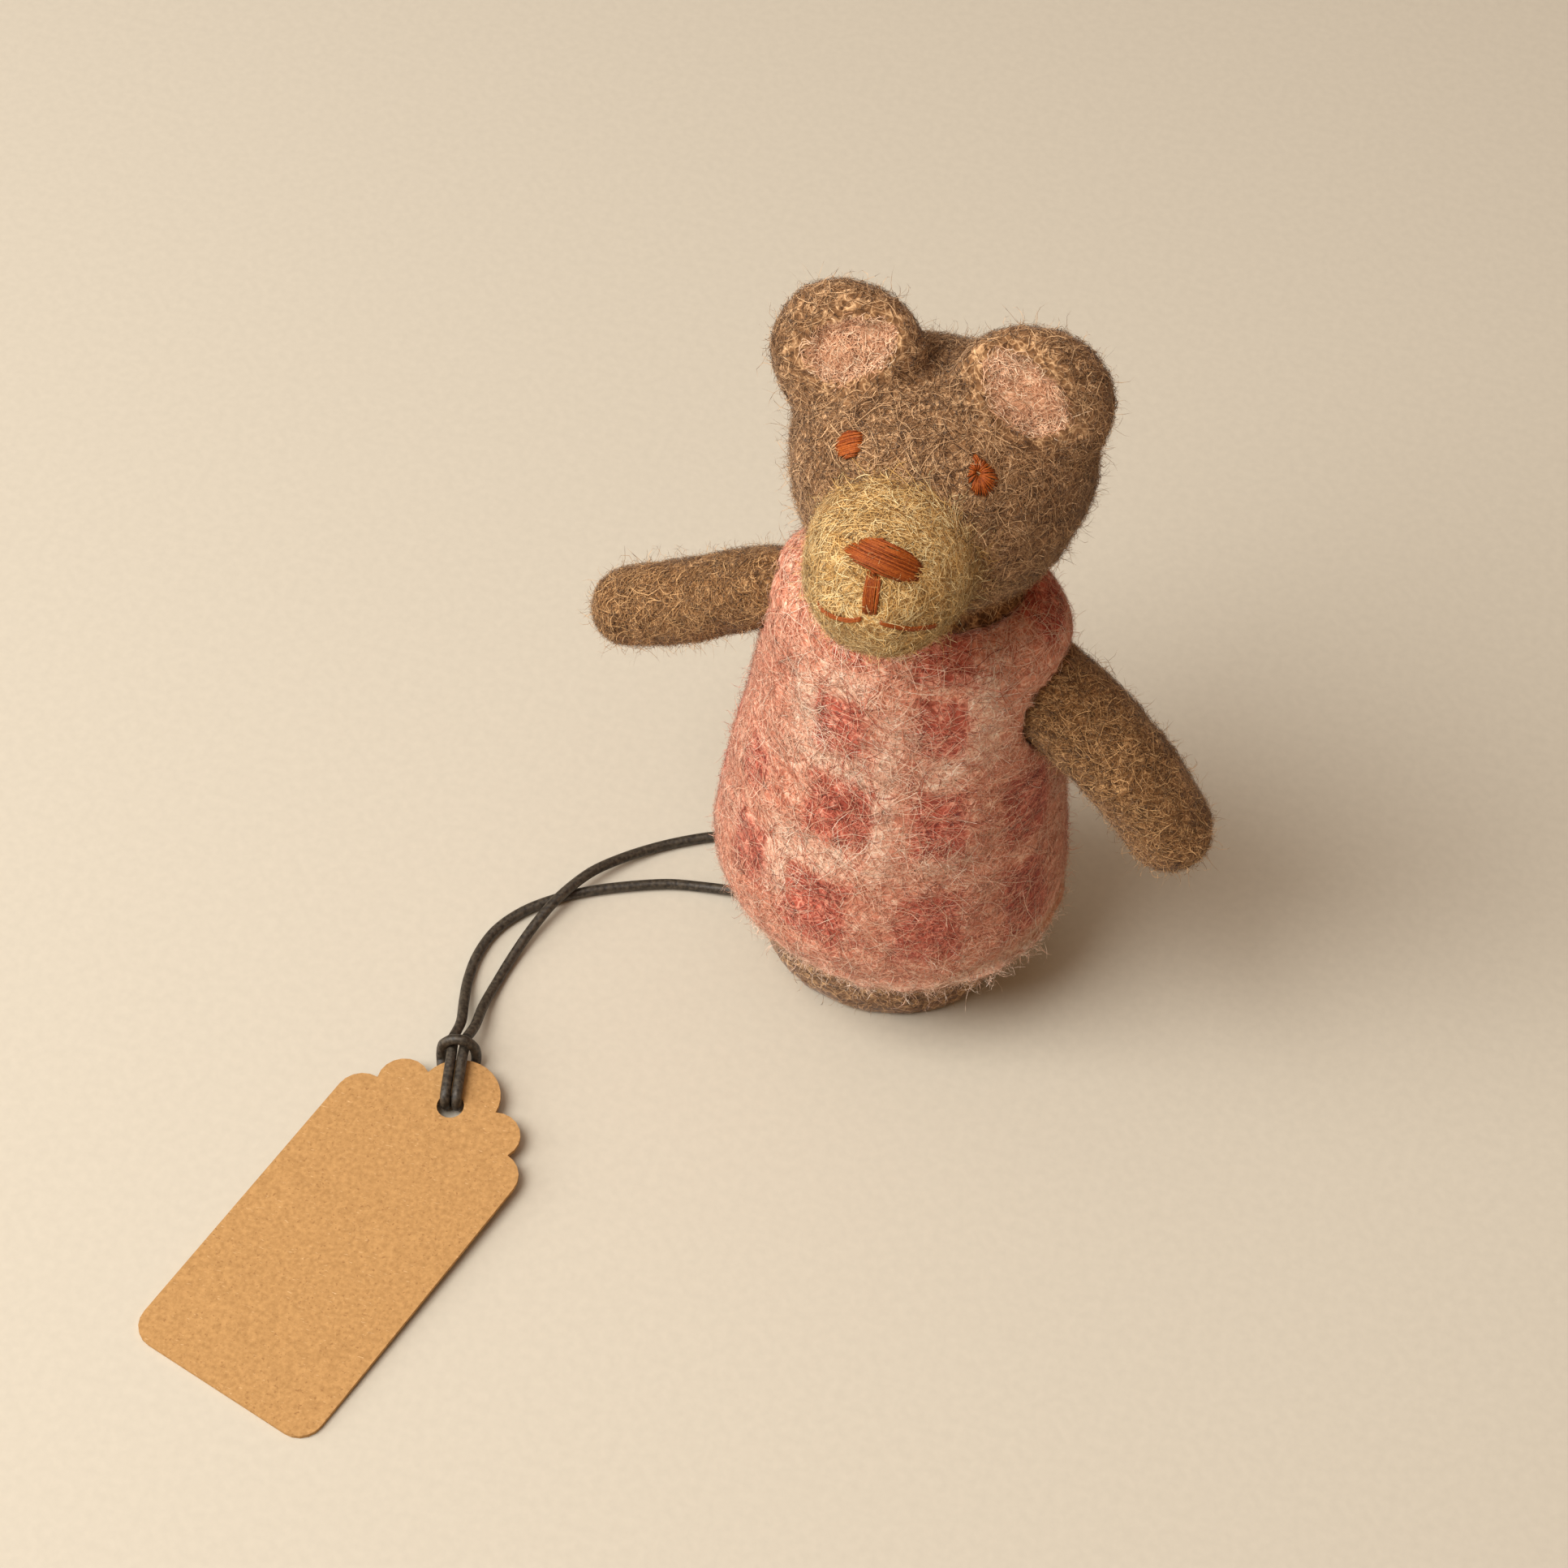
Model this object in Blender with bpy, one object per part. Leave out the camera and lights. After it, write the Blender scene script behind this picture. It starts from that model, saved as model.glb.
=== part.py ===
"""Felted wool finger puppet: a small bear in a pink checked pinafore, with a card swing tag on a cord.

The puppet stands upright on the open end of its hollow body. It faces -Y and its own left side is +X.
All sizes are in metres and +Z is up.
"""

import math

import bmesh
import bpy
from mathutils import Matrix, Vector
from mathutils.bvhtree import BVHTree

MM = 0.001

# Clearance kept between pieces that touch in the real puppet
GAP = 0.3 * MM

# Height of the neck's top, inside the head. Heights along the body are shares of it
NECK_TOP = 70.5 * MM

# Body: a hollow felt bag. Stations are share of the neck's height, half width and half depth of the
# outside, and how far its middle lies to the puppet's left of the axis
BODY_STATIONS = (
    (0.0, 13.9 * MM, 12.1 * MM, -0.9 * MM),
    (0.043, 14.4 * MM, 12.7 * MM, -0.9 * MM),
    (0.121, 14.2 * MM, 12.1 * MM, -0.9 * MM),
    (0.177, 16.2 * MM, 14.4 * MM, -1.1 * MM),
    (0.248, 17.8 * MM, 15.6 * MM, -1.1 * MM),
    (0.369, 17.2 * MM, 14.8 * MM, -1.0 * MM),
    (0.511, 16.1 * MM, 13.2 * MM, -0.7 * MM),
    (0.652, 14.9 * MM, 11.4 * MM, -0.3 * MM),
    (0.766, 14.4 * MM, 10.4 * MM, -0.1 * MM),
    (0.851, 14.1 * MM, 9.4 * MM, 0.0),
    (0.901, 12.2 * MM, 8.0 * MM, 0.0),
    (0.933, 8.2 * MM, 6.4 * MM, 0.0),
    (0.979, 4.6 * MM, 4.6 * MM, 0.0),
)
BODY_HEIGHT = BODY_STATIONS[-1][0] * NECK_TOP
SHOULDER_HEIGHT = 0.83 * NECK_TOP
BASE_ROUNDING = 0.9 * MM
WALL = 3.2 * MM
BORE_TOP = 0.752 * NECK_TOP
BODY_RINGS = 16
BODY_SIDES = 28

# Pinafore: one felt layer over the body
DRESS_THICKNESS = 1.9 * MM
HEM_HEIGHT = 0.15 * NECK_TOP
HEM_WAVE = 0.45 * MM
HEM_WAVES = 3
HEM_WAVE_START = 0.6
# The hem's lower edge is rounded: its ring is thinner, and the full thickness starts just above
HEM_EDGE_THICKNESS = 0.7
HEM_EDGE_SHARE = 0.012
NECKLINE_HEIGHT = 0.925 * NECK_TOP
ARMHOLE_CLEARANCE = 0.5 * MM
# The felted check: squares and gaps are counted in strips of faces round and up the dress
DRESS_SIDES = 45
DRESS_RINGS = 24
SQUARE_STRIPS = (3, 4)
REPEAT_STRIPS = (5, 6)
FIRST_ROW_STRIP = 5
# Direction of one column of squares, from the front towards the puppet's left
CHECK_TURN = math.radians(23.0)

# Head: a skull that narrows downwards, with two round ears. Places are measured from the skull's middle
SKULL_ABOVE_NECK = 9.1 * MM
SKULL_CENTRE = Vector((0.6 * MM, 0.6 * MM, NECK_TOP + SKULL_ABOVE_NECK))
SKULL_HALF = Vector((16.4 * MM, 13.0 * MM, 13.1 * MM))
SKULL_NARROWING = 0.16
SKULL_WEDGE = 0.12
SKULL_SQUARENESS = 2.3
SKULL_SEGMENTS = 28
SKULL_LEVELS = 18
# The ears' offsets, mirrored, from a middle that lies a little to the puppet's right of the skull's
EAR_MIDDLE = -1.0 * MM
EAR_OFFSET = Vector((9.2 * MM, 1.4 * MM, 11.9 * MM))
EAR_HALF = Vector((8.4 * MM, 3.6 * MM, 8.1 * MM))
EAR_TURN_OUT = math.radians(8.0)
EAR_TIP_OUT = math.radians(38.0)
EAR_LEAN_BACK = math.radians(18.0)
LINING_SIZE = (4.8 * MM, 2.6 * MM)
LINING_PLACE = Vector((-2.0 * MM, 0.0, 1.6 * MM))
LINING_THICKNESS = 0.7 * MM
EAR_SEGMENTS = 22
EAR_LEVELS = 12

# Muzzle: a round mound on the front of the skull
MUZZLE_OFFSET = Vector((-1.1 * MM, -12.9 * MM, 0.9 * MM))
MUZZLE_CENTRE = SKULL_CENTRE + MUZZLE_OFFSET
MUZZLE_HALF = Vector((8.2 * MM, 9.6 * MM, 8.7 * MM))
MUZZLE_SEGMENTS = 28
MUZZLE_LEVELS = 18

# Embroidery on the face: eyes by their offset from the skull's middle, the rest from the muzzle's
LEFT_EYE_OFFSET = Vector((7.2 * MM, -10.0 * MM, 12.3 * MM))
RIGHT_EYE_OFFSET = Vector((-9.1 * MM, -9.8 * MM, 12.1 * MM))
EYE_SIZE = (1.35 * MM, 1.5 * MM)
NOSE_MIDDLE = 0.2 * MM
NOSE_OFFSET = 5.9 * MM
NOSE_FRONT = 5.3 * MM
NOSE_SIZE = (3.7 * MM, 1.5 * MM)
# The nose narrows downwards by this share, and its stitches slope back by the view's share
NOSE_TAPER = -0.35
NOSE_SLOPE = 0.45
NOSE_STITCH_WIDTH = 0.75 * MM
NOSE_STITCH_MIDDLE = 0.65 * MM
NOSE_STITCH_FROM = 4.2 * MM
NOSE_STITCH_TO = 1.7 * MM
MOUTH_MIDDLE = 0.5 * MM
MOUTH_START = 0.35 * MM
MOUTH_HALF_WIDTH = 5.8 * MM
MOUTH_OFFSET = 0.5 * MM
MOUTH_DIP = 0.1 * MM
MOUTH_WIDTH = 0.4 * MM
STITCH_COUNT = 4
MOUTH_COUNT = 8
STITCH_THICKNESS = 0.5 * MM
# Pads are projected on the face from this far away; the nose starts this much above its place
FAR_OFF = 40.0 * MM
# Outlines of a pad or ribbon from the edge inwards: share of its width, share of its thickness
PAD_STEPS = ((1.0, 0.15), (0.82, 0.75), (0.45, 1.0))
RIBBON_STEPS = ((1.0, 0.2), (0.5, 1.0))
EYE_COUNT = 14
NOSE_COUNT = 18
LINING_COUNT = 20
NOSE_RISE = (FAR_OFF + MUZZLE_CENTRE.y - NOSE_FRONT) * NOSE_SLOPE

# Arms: centre lines from inside the shoulder to the tip, with heights from the shoulder's, and radii
RIGHT_ARM_LINE = (
    (-9.0 * MM, 0.0, -0.1 * MM),
    (-15.8 * MM, 0.0, -1.4 * MM),
    (-20.4 * MM, 0.4 * MM, -5.0 * MM),
    (-25.5 * MM, 1.0 * MM, -9.0 * MM),
    (-32.2 * MM, 1.5 * MM, -13.3 * MM),
)
RIGHT_ARM_RADII = (3.6 * MM, 4.0 * MM, 4.3 * MM, 4.5 * MM, 4.4 * MM)
LEFT_ARM_LINE = (
    (8.0 * MM, 0.0, -2.5 * MM),
    (13.9 * MM, -1.0 * MM, -5.1 * MM),
    (18.7 * MM, -2.0 * MM, -7.9 * MM),
    (22.7 * MM, -3.0 * MM, -10.6 * MM),
    (26.3 * MM, -4.0 * MM, -13.7 * MM),
    (30.2 * MM, -4.5 * MM, -19.0 * MM),
)
LEFT_ARM_RADII = (5.2 * MM, 5.3 * MM, 5.3 * MM, 5.2 * MM, 5.0 * MM, 4.8 * MM)
ARM_SIDES = 16
ARM_RINGS_PER_POINT = 3
ARM_TIP_RINGS = 4

# Swing tag: a card with a scalloped end, lying with its hole end on the hitch
TAG_HALF_WIDTH = 12.1 * MM
TAG_THICKNESS = 0.5 * MM
TAG_HOLE_FROM_END = 41.8 * MM
TAG_HOLE_RADIUS = 1.55 * MM
TAG_CORNER = 2.8 * MM
TAG_OUTLINE_STEP = 0.9 * MM
TAG_HOLE_SIDES = 20
# Each scallop is an arc: distance off the middle line, distance from the square end, radius
TAG_LOBE = (0.0, 43.3 * MM, 4.75 * MM)
TAG_SCALLOP = (6.3 * MM, 41.4 * MM, 3.0 * MM)
TAG_SHOULDER = (9.05 * MM, 37.2 * MM, 3.05 * MM)
TAG_HOLE_PLACE = Vector((-39.9 * MM, -39.9 * MM, 0.0))
TAG_AIM = math.radians(73.8)

# Cord: two strands of one waxed cord, tied to the tag with a cow hitch
CORD_RADIUS = 0.55 * MM
CORD_STEP = 2.2 * MM
# Places worked out between two control points before a line is stepped evenly
FINE_STEPS = 24
HITCH_AIM = math.radians(-77.2)
HITCH_TO_HOLE = 7.0 * MM
STRAND_SPREAD = 0.62 * MM
HITCH_HALF_WIDTH = 2.6 * MM
HITCH_STEP = 0.95 * MM
FLOOR_CLEARANCE = 0.02 * MM
FLOOR_LINE = CORD_RADIUS + FLOOR_CLEARANCE
# Routes over the floor from the body to the hitch, as X, Y and height above the floor line
STRAND_A_ROUTE = (
    (-13.3 * MM, 6.3 * MM, 0.8 * MM),
    (-17.0 * MM, 6.9 * MM, 0.5 * MM),
    (-20.0 * MM, 6.9 * MM, 0.1 * MM),
    (-23.6 * MM, 6.0 * MM, 0.0),
    (-26.6 * MM, 4.4 * MM, 0.0),
    (-29.6 * MM, 2.3 * MM, 0.1 * MM),
    (-32.6 * MM, -0.6 * MM, 0.6 * MM),
    (-35.2 * MM, -3.9 * MM, 1.25 * MM),
    (-36.9 * MM, -6.9 * MM, 1.45 * MM),
    (-38.4 * MM, -10.2 * MM, 1.25 * MM),
    (-39.7 * MM, -14.2 * MM, 0.6 * MM),
    (-40.6 * MM, -18.4 * MM, 0.1 * MM),
    (-41.1 * MM, -22.6 * MM, 0.1 * MM),
    (-41.2 * MM, -26.0 * MM, 0.8 * MM),
    (-40.9 * MM, -29.2 * MM, 1.7 * MM),
)
STRAND_B_ROUTE = (
    (-15.1 * MM, -0.6 * MM, 0.8 * MM),
    (-18.6 * MM, -1.0 * MM, 0.4 * MM),
    (-23.0 * MM, -1.5 * MM, 0.0),
    (-26.9 * MM, -2.4 * MM, 0.0),
    (-31.2 * MM, -4.2 * MM, 0.0),
    (-35.1 * MM, -6.2 * MM, 0.0),
    (-38.6 * MM, -8.6 * MM, 0.0),
    (-41.6 * MM, -11.5 * MM, 0.0),
    (-43.7 * MM, -15.0 * MM, 0.0),
    (-44.5 * MM, -18.8 * MM, 0.0),
    (-44.3 * MM, -22.6 * MM, 0.1 * MM),
    (-43.5 * MM, -26.0 * MM, 0.8 * MM),
    (-42.6 * MM, -29.2 * MM, 1.7 * MM),
)

# Colours
BROWN_WOOL = (0.235, 0.145, 0.082)
TAN_WOOL = (0.56, 0.39, 0.17)
PINK_WOOL = (0.75, 0.37, 0.25)
ROSE_WOOL = (0.47, 0.095, 0.075)
LINING_WOOL = (0.68, 0.40, 0.29)
RUST_THREAD = (0.40, 0.085, 0.018)
WAXED_CORD = (0.018, 0.015, 0.013)
KRAFT_CARD = (0.60, 0.33, 0.12)


# Pieces that hang on the puppet by its cord and are left out when it is centred
CORD_PIECES = ("tag_cord_a", "tag_cord_b", "hitch", "swing_tag")


def clear_scene():
    """Remove whatever the file holds already."""
    for found in list(bpy.data.objects):
        bpy.data.objects.remove(found, do_unlink=True)


def make_material(name, colour, roughness):
    """One plain material with its colour and roughness."""
    material = bpy.data.materials.new(name)
    material.use_nodes = True
    shader = material.node_tree.nodes["Principled BSDF"]
    shader.inputs["Base Color"].default_value = (*colour, 1.0)
    shader.inputs["Roughness"].default_value = roughness
    shader.inputs["Metallic"].default_value = 0.0
    return material


def make_piece(name, faces_mesh, material, parent, smooth=True):
    """Put a bmesh into a named object below the puppet's own origin."""
    mesh = bpy.data.meshes.new(name)
    bmesh.ops.recalc_face_normals(faces_mesh, faces=faces_mesh.faces)
    faces_mesh.to_mesh(mesh)
    faces_mesh.free()
    if smooth:
        mesh.shade_smooth()
    mesh.materials.append(material)
    piece = bpy.data.objects.new(name, mesh)
    bpy.context.scene.collection.objects.link(piece)
    piece.parent = parent
    return piece


def hide_cutter(cutter):
    """A cutter is only a tool for the cuts."""
    cutter.hide_render = True
    cutter.display_type = "WIRE"


def boolean(piece, other, operation):
    """Join or cut a piece with another and keep the result."""
    modifier = piece.modifiers.new(operation.title(), "BOOLEAN")
    modifier.operation = operation
    modifier.solver = "EXACT"
    modifier.object = other
    apply_modifiers(piece)


def apply_modifiers(piece):
    """Replace a piece's mesh with its evaluated one."""
    graph = bpy.context.evaluated_depsgraph_get()
    result = bpy.data.meshes.new_from_object(piece.evaluated_get(graph))
    piece.modifiers.clear()
    piece.data = result


def blend(values, share):
    """Catmull-Rom value between the two middle ones of four."""
    before, start, end, after = values
    slope_in = (end - before) / 2
    slope_out = (after - start) / 2
    cube = 2 * start - 2 * end + slope_in + slope_out
    square = 3 * end - 3 * start - 2 * slope_in - slope_out
    return ((cube * share + square) * share + slope_in) * share + start


def at_share(points, position):
    """Point at a position counted in control points along a smooth curve."""
    last = len(points) - 1
    index = min(int(position), last - 1)
    near = [points[max(0, min(last, index + step))] for step in (-1, 0, 1, 2)]
    return blend(near, position - index)


def smooth_line(points, step):
    """Evenly spaced points along a smooth curve through the given ones."""
    points = [Vector(point) for point in points]
    fine_steps = FINE_STEPS * (len(points) - 1)
    fine = [at_share(points, index / FINE_STEPS) for index in range(fine_steps + 1)]
    along = [0.0]
    for first, second in zip(fine, fine[1:]):
        along.append(along[-1] + (second - first).length)
    count = max(2, round(along[-1] / step))
    line = []
    index = 0
    for number in range(count + 1):
        wanted = along[-1] * number / count
        while index < len(fine) - 2 and along[index + 1] < wanted:
            index += 1
        share = (wanted - along[index]) / max(along[index + 1] - along[index], 1e-9)
        line.append(fine[index].lerp(fine[index + 1], share))
    return line


def body_station(height):
    """Height, half width, half depth and middle of the body at a height."""
    stations = [Vector((station[0] * NECK_TOP, *station[1:])) for station in BODY_STATIONS]
    height = max(stations[0].x, min(stations[-1].x, height))
    index = 0
    while index < len(stations) - 2 and stations[index + 1].x < height:
        index += 1
    share = (height - stations[index].x) / (stations[index + 1].x - stations[index].x)
    return at_share(stations, index + share)


def body_size(height):
    """Half width and half depth of the body's outside at a height."""
    size = body_station(height)
    return size.y, size.z


def body_shift(height):
    """How far the body's middle lies off its axis at a height."""
    return body_station(height).w


def oval_point(angle, height, half_width, half_depth):
    """A point of a level oval round the body's middle."""
    return Vector((body_shift(height) + half_width * math.cos(angle), half_depth * math.sin(angle), height))


def oval_ring(height, half_width, half_depth):
    """A level oval ring of points round the body."""
    turn = 2 * math.pi / BODY_SIDES
    return [oval_point(turn * side, height, half_width, half_depth) for side in range(BODY_SIDES)]


def skin_rings(rings, start, end):
    """Faces between rings of points, closed at each end by a middle point."""
    shape = bmesh.new()
    rows = [[shape.verts.new(point) for point in ring] for ring in rings]
    for lower, upper in zip(rows, rows[1:]):
        for side in range(len(lower)):
            after = (side + 1) % len(lower)
            shape.faces.new((lower[side], lower[after], upper[after], upper[side]))
    for pole, row in ((start, rows[0]), (end, rows[-1])):
        tip = shape.verts.new(pole)
        for side in range(len(row)):
            shape.faces.new((tip, row[side], row[(side + 1) % len(row)]))
    return shape


def body_rings(growth, low, high, count):
    """Outer rings of the body between two heights, grown sideways."""
    rings = []
    for index in range(count + 1):
        height = low + (high - low) * index / count
        width, depth = body_size(height)
        rings.append(oval_ring(height, width + growth, depth + growth))
    return rings


def build_body(material, parent):
    """The hollow body: base ring, outside up to the neck, and the finger bore."""
    width, depth = body_size(0.0)
    outside = [oval_ring(0.0, width - BASE_ROUNDING, depth - BASE_ROUNDING)]
    outside += body_rings(0.0, BASE_ROUNDING, BODY_HEIGHT, BODY_RINGS)
    inside = [oval_ring(0.0, width - WALL, depth - WALL)]
    inside += body_rings(-WALL, BASE_ROUNDING, BORE_TOP, BODY_RINGS // 2)
    rings = list(reversed(inside)) + outside
    bore_pole = Vector((0.0, 0.0, BORE_TOP + WALL))
    neck_pole = Vector((0.0, 0.0, NECK_TOP))
    return make_piece("body", skin_rings(rings, bore_pole, neck_pole), material, parent)


def body_cutter(parent):
    """The body's outside grown by the gap, to cut what meets it."""
    rings = body_rings(GAP, 0.0, BODY_HEIGHT, BODY_RINGS)
    floor_pole = Vector((0.0, 0.0, 0.0))
    neck_pole = Vector((0.0, 0.0, NECK_TOP + GAP))
    cutter = make_piece("body_cutter", skin_rings(rings, floor_pole, neck_pole), None, parent)
    hide_cutter(cutter)
    return cutter


def hem_height(angle):
    """The hem is slightly wavy."""
    return HEM_HEIGHT + HEM_WAVE * math.sin(HEM_WAVES * angle + HEM_WAVE_START)


def dress_point(angle, share, offset):
    """A point on the dress between hem and neckline, at an offset from the body."""
    low = hem_height(angle)
    height = low + (NECKLINE_HEIGHT - low) * share
    width, depth = body_size(height)
    return oval_point(angle, height, width + offset, depth + offset)


def strip_angle(strip):
    """Direction of an edge between two strips of the dress; strip 0 starts a column of squares."""
    turn = 2 * math.pi / DRESS_SIDES
    return CHECK_TURN - math.pi / 2 + turn * (strip - SQUARE_STRIPS[0] / 2)


def dress_ring(share, offset):
    """One ring of points round the dress."""
    return [dress_point(strip_angle(strip), share, offset) for strip in range(DRESS_SIDES)]


def build_dress(material, parent, body_shape):
    """The pinafore's outside, cut by the body within it to leave one closed layer."""
    outer = GAP + DRESS_THICKNESS
    hem = dress_ring(0.0, GAP + DRESS_THICKNESS * HEM_EDGE_THICKNESS)
    shares = [max(HEM_EDGE_SHARE, index / DRESS_RINGS) for index in range(DRESS_RINGS + 1)]
    rings = [dress_ring(share, outer) for share in shares]
    below = Vector((0.0, 0.0, HEM_HEIGHT))
    above = Vector((0.0, 0.0, NECKLINE_HEIGHT))
    dress = make_piece("dress", skin_rings([hem] + rings, below, above), material, parent)
    boolean(dress, body_shape, "DIFFERENCE")
    return dress


def colour_checks(dress, rose):
    """Give the squares of the felted check their own colour."""
    dress.data.materials.append(rose)
    turn = 2 * math.pi / DRESS_SIDES
    for face in dress.data.polygons:
        centre = face.center
        width, depth = body_size(centre.z)
        angle = math.atan2(centre.y / depth, (centre.x - body_shift(centre.z)) / width)
        low = hem_height(angle)
        strip = math.floor((angle - strip_angle(0)) / turn) % REPEAT_STRIPS[0]
        row = math.floor((centre.z - low) / (NECKLINE_HEIGHT - low) * DRESS_RINGS) - FIRST_ROW_STRIP
        if row >= 0 and strip < SQUARE_STRIPS[0] and row % REPEAT_STRIPS[1] < SQUARE_STRIPS[1]:
            face.material_index = 1


def skull_point(direction, growth):
    """Point of the skull's surface in a direction, grown by an amount."""
    power = SKULL_SQUARENESS
    size = sum(abs(value) ** power for value in direction) ** (1 / power)
    unit = direction / size
    narrow = (1 - SKULL_NARROWING * (1 - unit.z) / 2) * (1 + SKULL_WEDGE * unit.y)
    half = SKULL_HALF + Vector((growth, growth, growth))
    offset = Vector((unit.x * half.x * narrow, unit.y * half.y, unit.z * half.z))
    return SKULL_CENTRE + offset


def ball(segments, rings):
    """A unit ball as a bmesh."""
    shape = bmesh.new()
    bmesh.ops.create_uvsphere(shape, u_segments=segments, v_segments=rings, radius=1.0)
    return shape


def build_skull(name, growth, material, parent):
    """The skull's closed form."""
    shape = ball(SKULL_SEGMENTS, SKULL_LEVELS)
    for vertex in shape.verts:
        vertex.co = skull_point(vertex.co.copy(), growth)
    return make_piece(name, shape, material, parent)


def ear_frame(side):
    """Place and turn of an ear: side is 1 for the left ear and -1 for the right."""
    centre = SKULL_CENTRE + Vector((EAR_MIDDLE + side * EAR_OFFSET.x, EAR_OFFSET.y, EAR_OFFSET.z))
    tip = Matrix.Rotation(side * EAR_TIP_OUT, 4, "Y")
    lean = Matrix.Rotation(-EAR_LEAN_BACK, 4, "X")
    turn = Matrix.Rotation(side * EAR_TURN_OUT, 4, "Z")
    return Matrix.Translation(centre) @ turn @ lean @ tip


def build_ear(side, material, parent):
    """A round, flattened ear that sinks into the skull."""
    shape = ball(EAR_SEGMENTS, EAR_LEVELS)
    frame = ear_frame(side)
    for vertex in shape.verts:
        size = vertex.co
        vertex.co = frame @ Vector((size.x * EAR_HALF.x, size.y * EAR_HALF.y, size.z * EAR_HALF.z))
    return make_piece("ear", shape, material, parent)


def build_head(material, parent, body_shape):
    """Skull and ears as one felt mass, with a socket for the neck."""
    head = build_skull("head", 0.0, material, parent)
    for side in (1, -1):
        ear = build_ear(side, material, parent)
        boolean(head, ear, "UNION")
        bpy.data.objects.remove(ear)
    boolean(head, body_shape, "DIFFERENCE")
    return head


def surface_of(piece):
    """A search tree of a piece's faces, in the puppet's own frame."""
    graph = bpy.context.evaluated_depsgraph_get()
    return BVHTree.FromObject(piece, graph)


def pad_point(surface, place, direction, lift):
    """The point that a ray from place meets on a surface, lifted off it."""
    hit, normal, _, _ = surface.ray_cast(place, direction)
    if normal.dot(direction) > 0:
        normal = -normal
    return hit + normal * lift


def close_outline(shape, ring):
    """Close an outline with faces from side to side, so that it follows a curved surface."""
    first = 0
    last = len(ring) - 1
    while last - first > 1:
        shape.faces.new((ring[first], ring[first + 1], ring[last - 1], ring[last]))
        first += 1
        last -= 1


def build_pad(name, outlines, direction, surface, thickness, material, parent):
    """A pad on a surface: outlines run from its edge inwards, each with its share of the thickness."""
    shape = bmesh.new()
    tops = []
    bottoms = []
    for outline, share in outlines:
        lift = GAP + thickness * share
        tops.append([shape.verts.new(pad_point(surface, place, direction, lift)) for place in outline])
    for outline, _ in outlines[1:]:
        bottoms.append([shape.verts.new(pad_point(surface, place, direction, GAP)) for place in outline])
    for rows in (tops, [tops[0]] + bottoms):
        for outer, inner in zip(rows, rows[1:]):
            for index in range(len(outer)):
                after = (index + 1) % len(outer)
                shape.faces.new((outer[index], outer[after], inner[after], inner[index]))
        close_outline(shape, rows[-1])
    return make_piece(name, shape, material, parent)


def oval_outlines(centre, across, up, half_width, half_height, count, taper=0.0):
    """Oval outlines from the edge inwards for a pad, narrower towards the top where it tapers."""
    outlines = []
    for scale, share in PAD_STEPS:
        outline = []
        for index in range(count):
            angle = 2 * math.pi * index / count
            rise = math.sin(angle)
            width = half_width * (1 - taper * rise)
            sideways = across * (width * scale * math.cos(angle))
            outline.append(centre + sideways + up * (half_height * scale * rise))
        outlines.append((outline, share))
    return outlines


def build_linings(head, material, parent):
    """Pink wool patches on the front faces of the ears."""
    surface = surface_of(head)
    for side, name in ((1, "ear_lining_left"), (-1, "ear_lining_right")):
        frame = ear_frame(side)
        turn = frame.to_3x3()
        front = turn @ Vector((0.0, -1.0, 0.0))
        middle = Vector((side * LINING_PLACE.x, LINING_PLACE.y, LINING_PLACE.z))
        centre = frame @ middle + front * FAR_OFF
        across = turn @ Vector((1.0, 0.0, 0.0))
        up = turn @ Vector((0.0, 0.0, 1.0))
        outlines = oval_outlines(centre, across, up, *LINING_SIZE, LINING_COUNT)
        build_pad(name, outlines, -front, surface, LINING_THICKNESS, material, parent)


def build_muzzle(material, parent):
    """The muzzle mound, cut to sit on the skull."""
    shape = ball(MUZZLE_SEGMENTS, MUZZLE_LEVELS)
    for vertex in shape.verts:
        size = vertex.co
        vertex.co = MUZZLE_CENTRE + Vector(
            (size.x * MUZZLE_HALF.x, size.y * MUZZLE_HALF.y, size.z * MUZZLE_HALF.z)
        )
    muzzle = make_piece("muzzle", shape, material, parent)
    cutter = build_skull("skull_cutter", GAP, None, parent)
    boolean(muzzle, cutter, "DIFFERENCE")
    bpy.data.objects.remove(cutter)
    return muzzle


def build_eyes(head, material, parent):
    """Two small satin-stitched eyes."""
    surface = surface_of(head)
    for offset, name in ((LEFT_EYE_OFFSET, "eye_left"), (RIGHT_EYE_OFFSET, "eye_right")):
        direction = -offset.normalized()
        place = SKULL_CENTRE + offset - direction * FAR_OFF
        across = direction.cross(Vector((0.0, 0.0, 1.0))).normalized()
        up = across.cross(direction)
        outlines = oval_outlines(place, across, up, *EYE_SIZE, EYE_COUNT)
        build_pad(name, outlines, direction, surface, STITCH_THICKNESS, material, parent)


def ribbon_outlines(centre_line, half_width, across):
    """Outlines of a narrow stitched ribbon along a line, from its edge inwards."""
    outlines = []
    for scale, share in RIBBON_STEPS:
        side_one = [point + across * half_width * scale for point in centre_line]
        side_two = [point - across * half_width * scale for point in centre_line]
        outlines.append((side_one + side_two[::-1], share))
    return outlines


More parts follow.
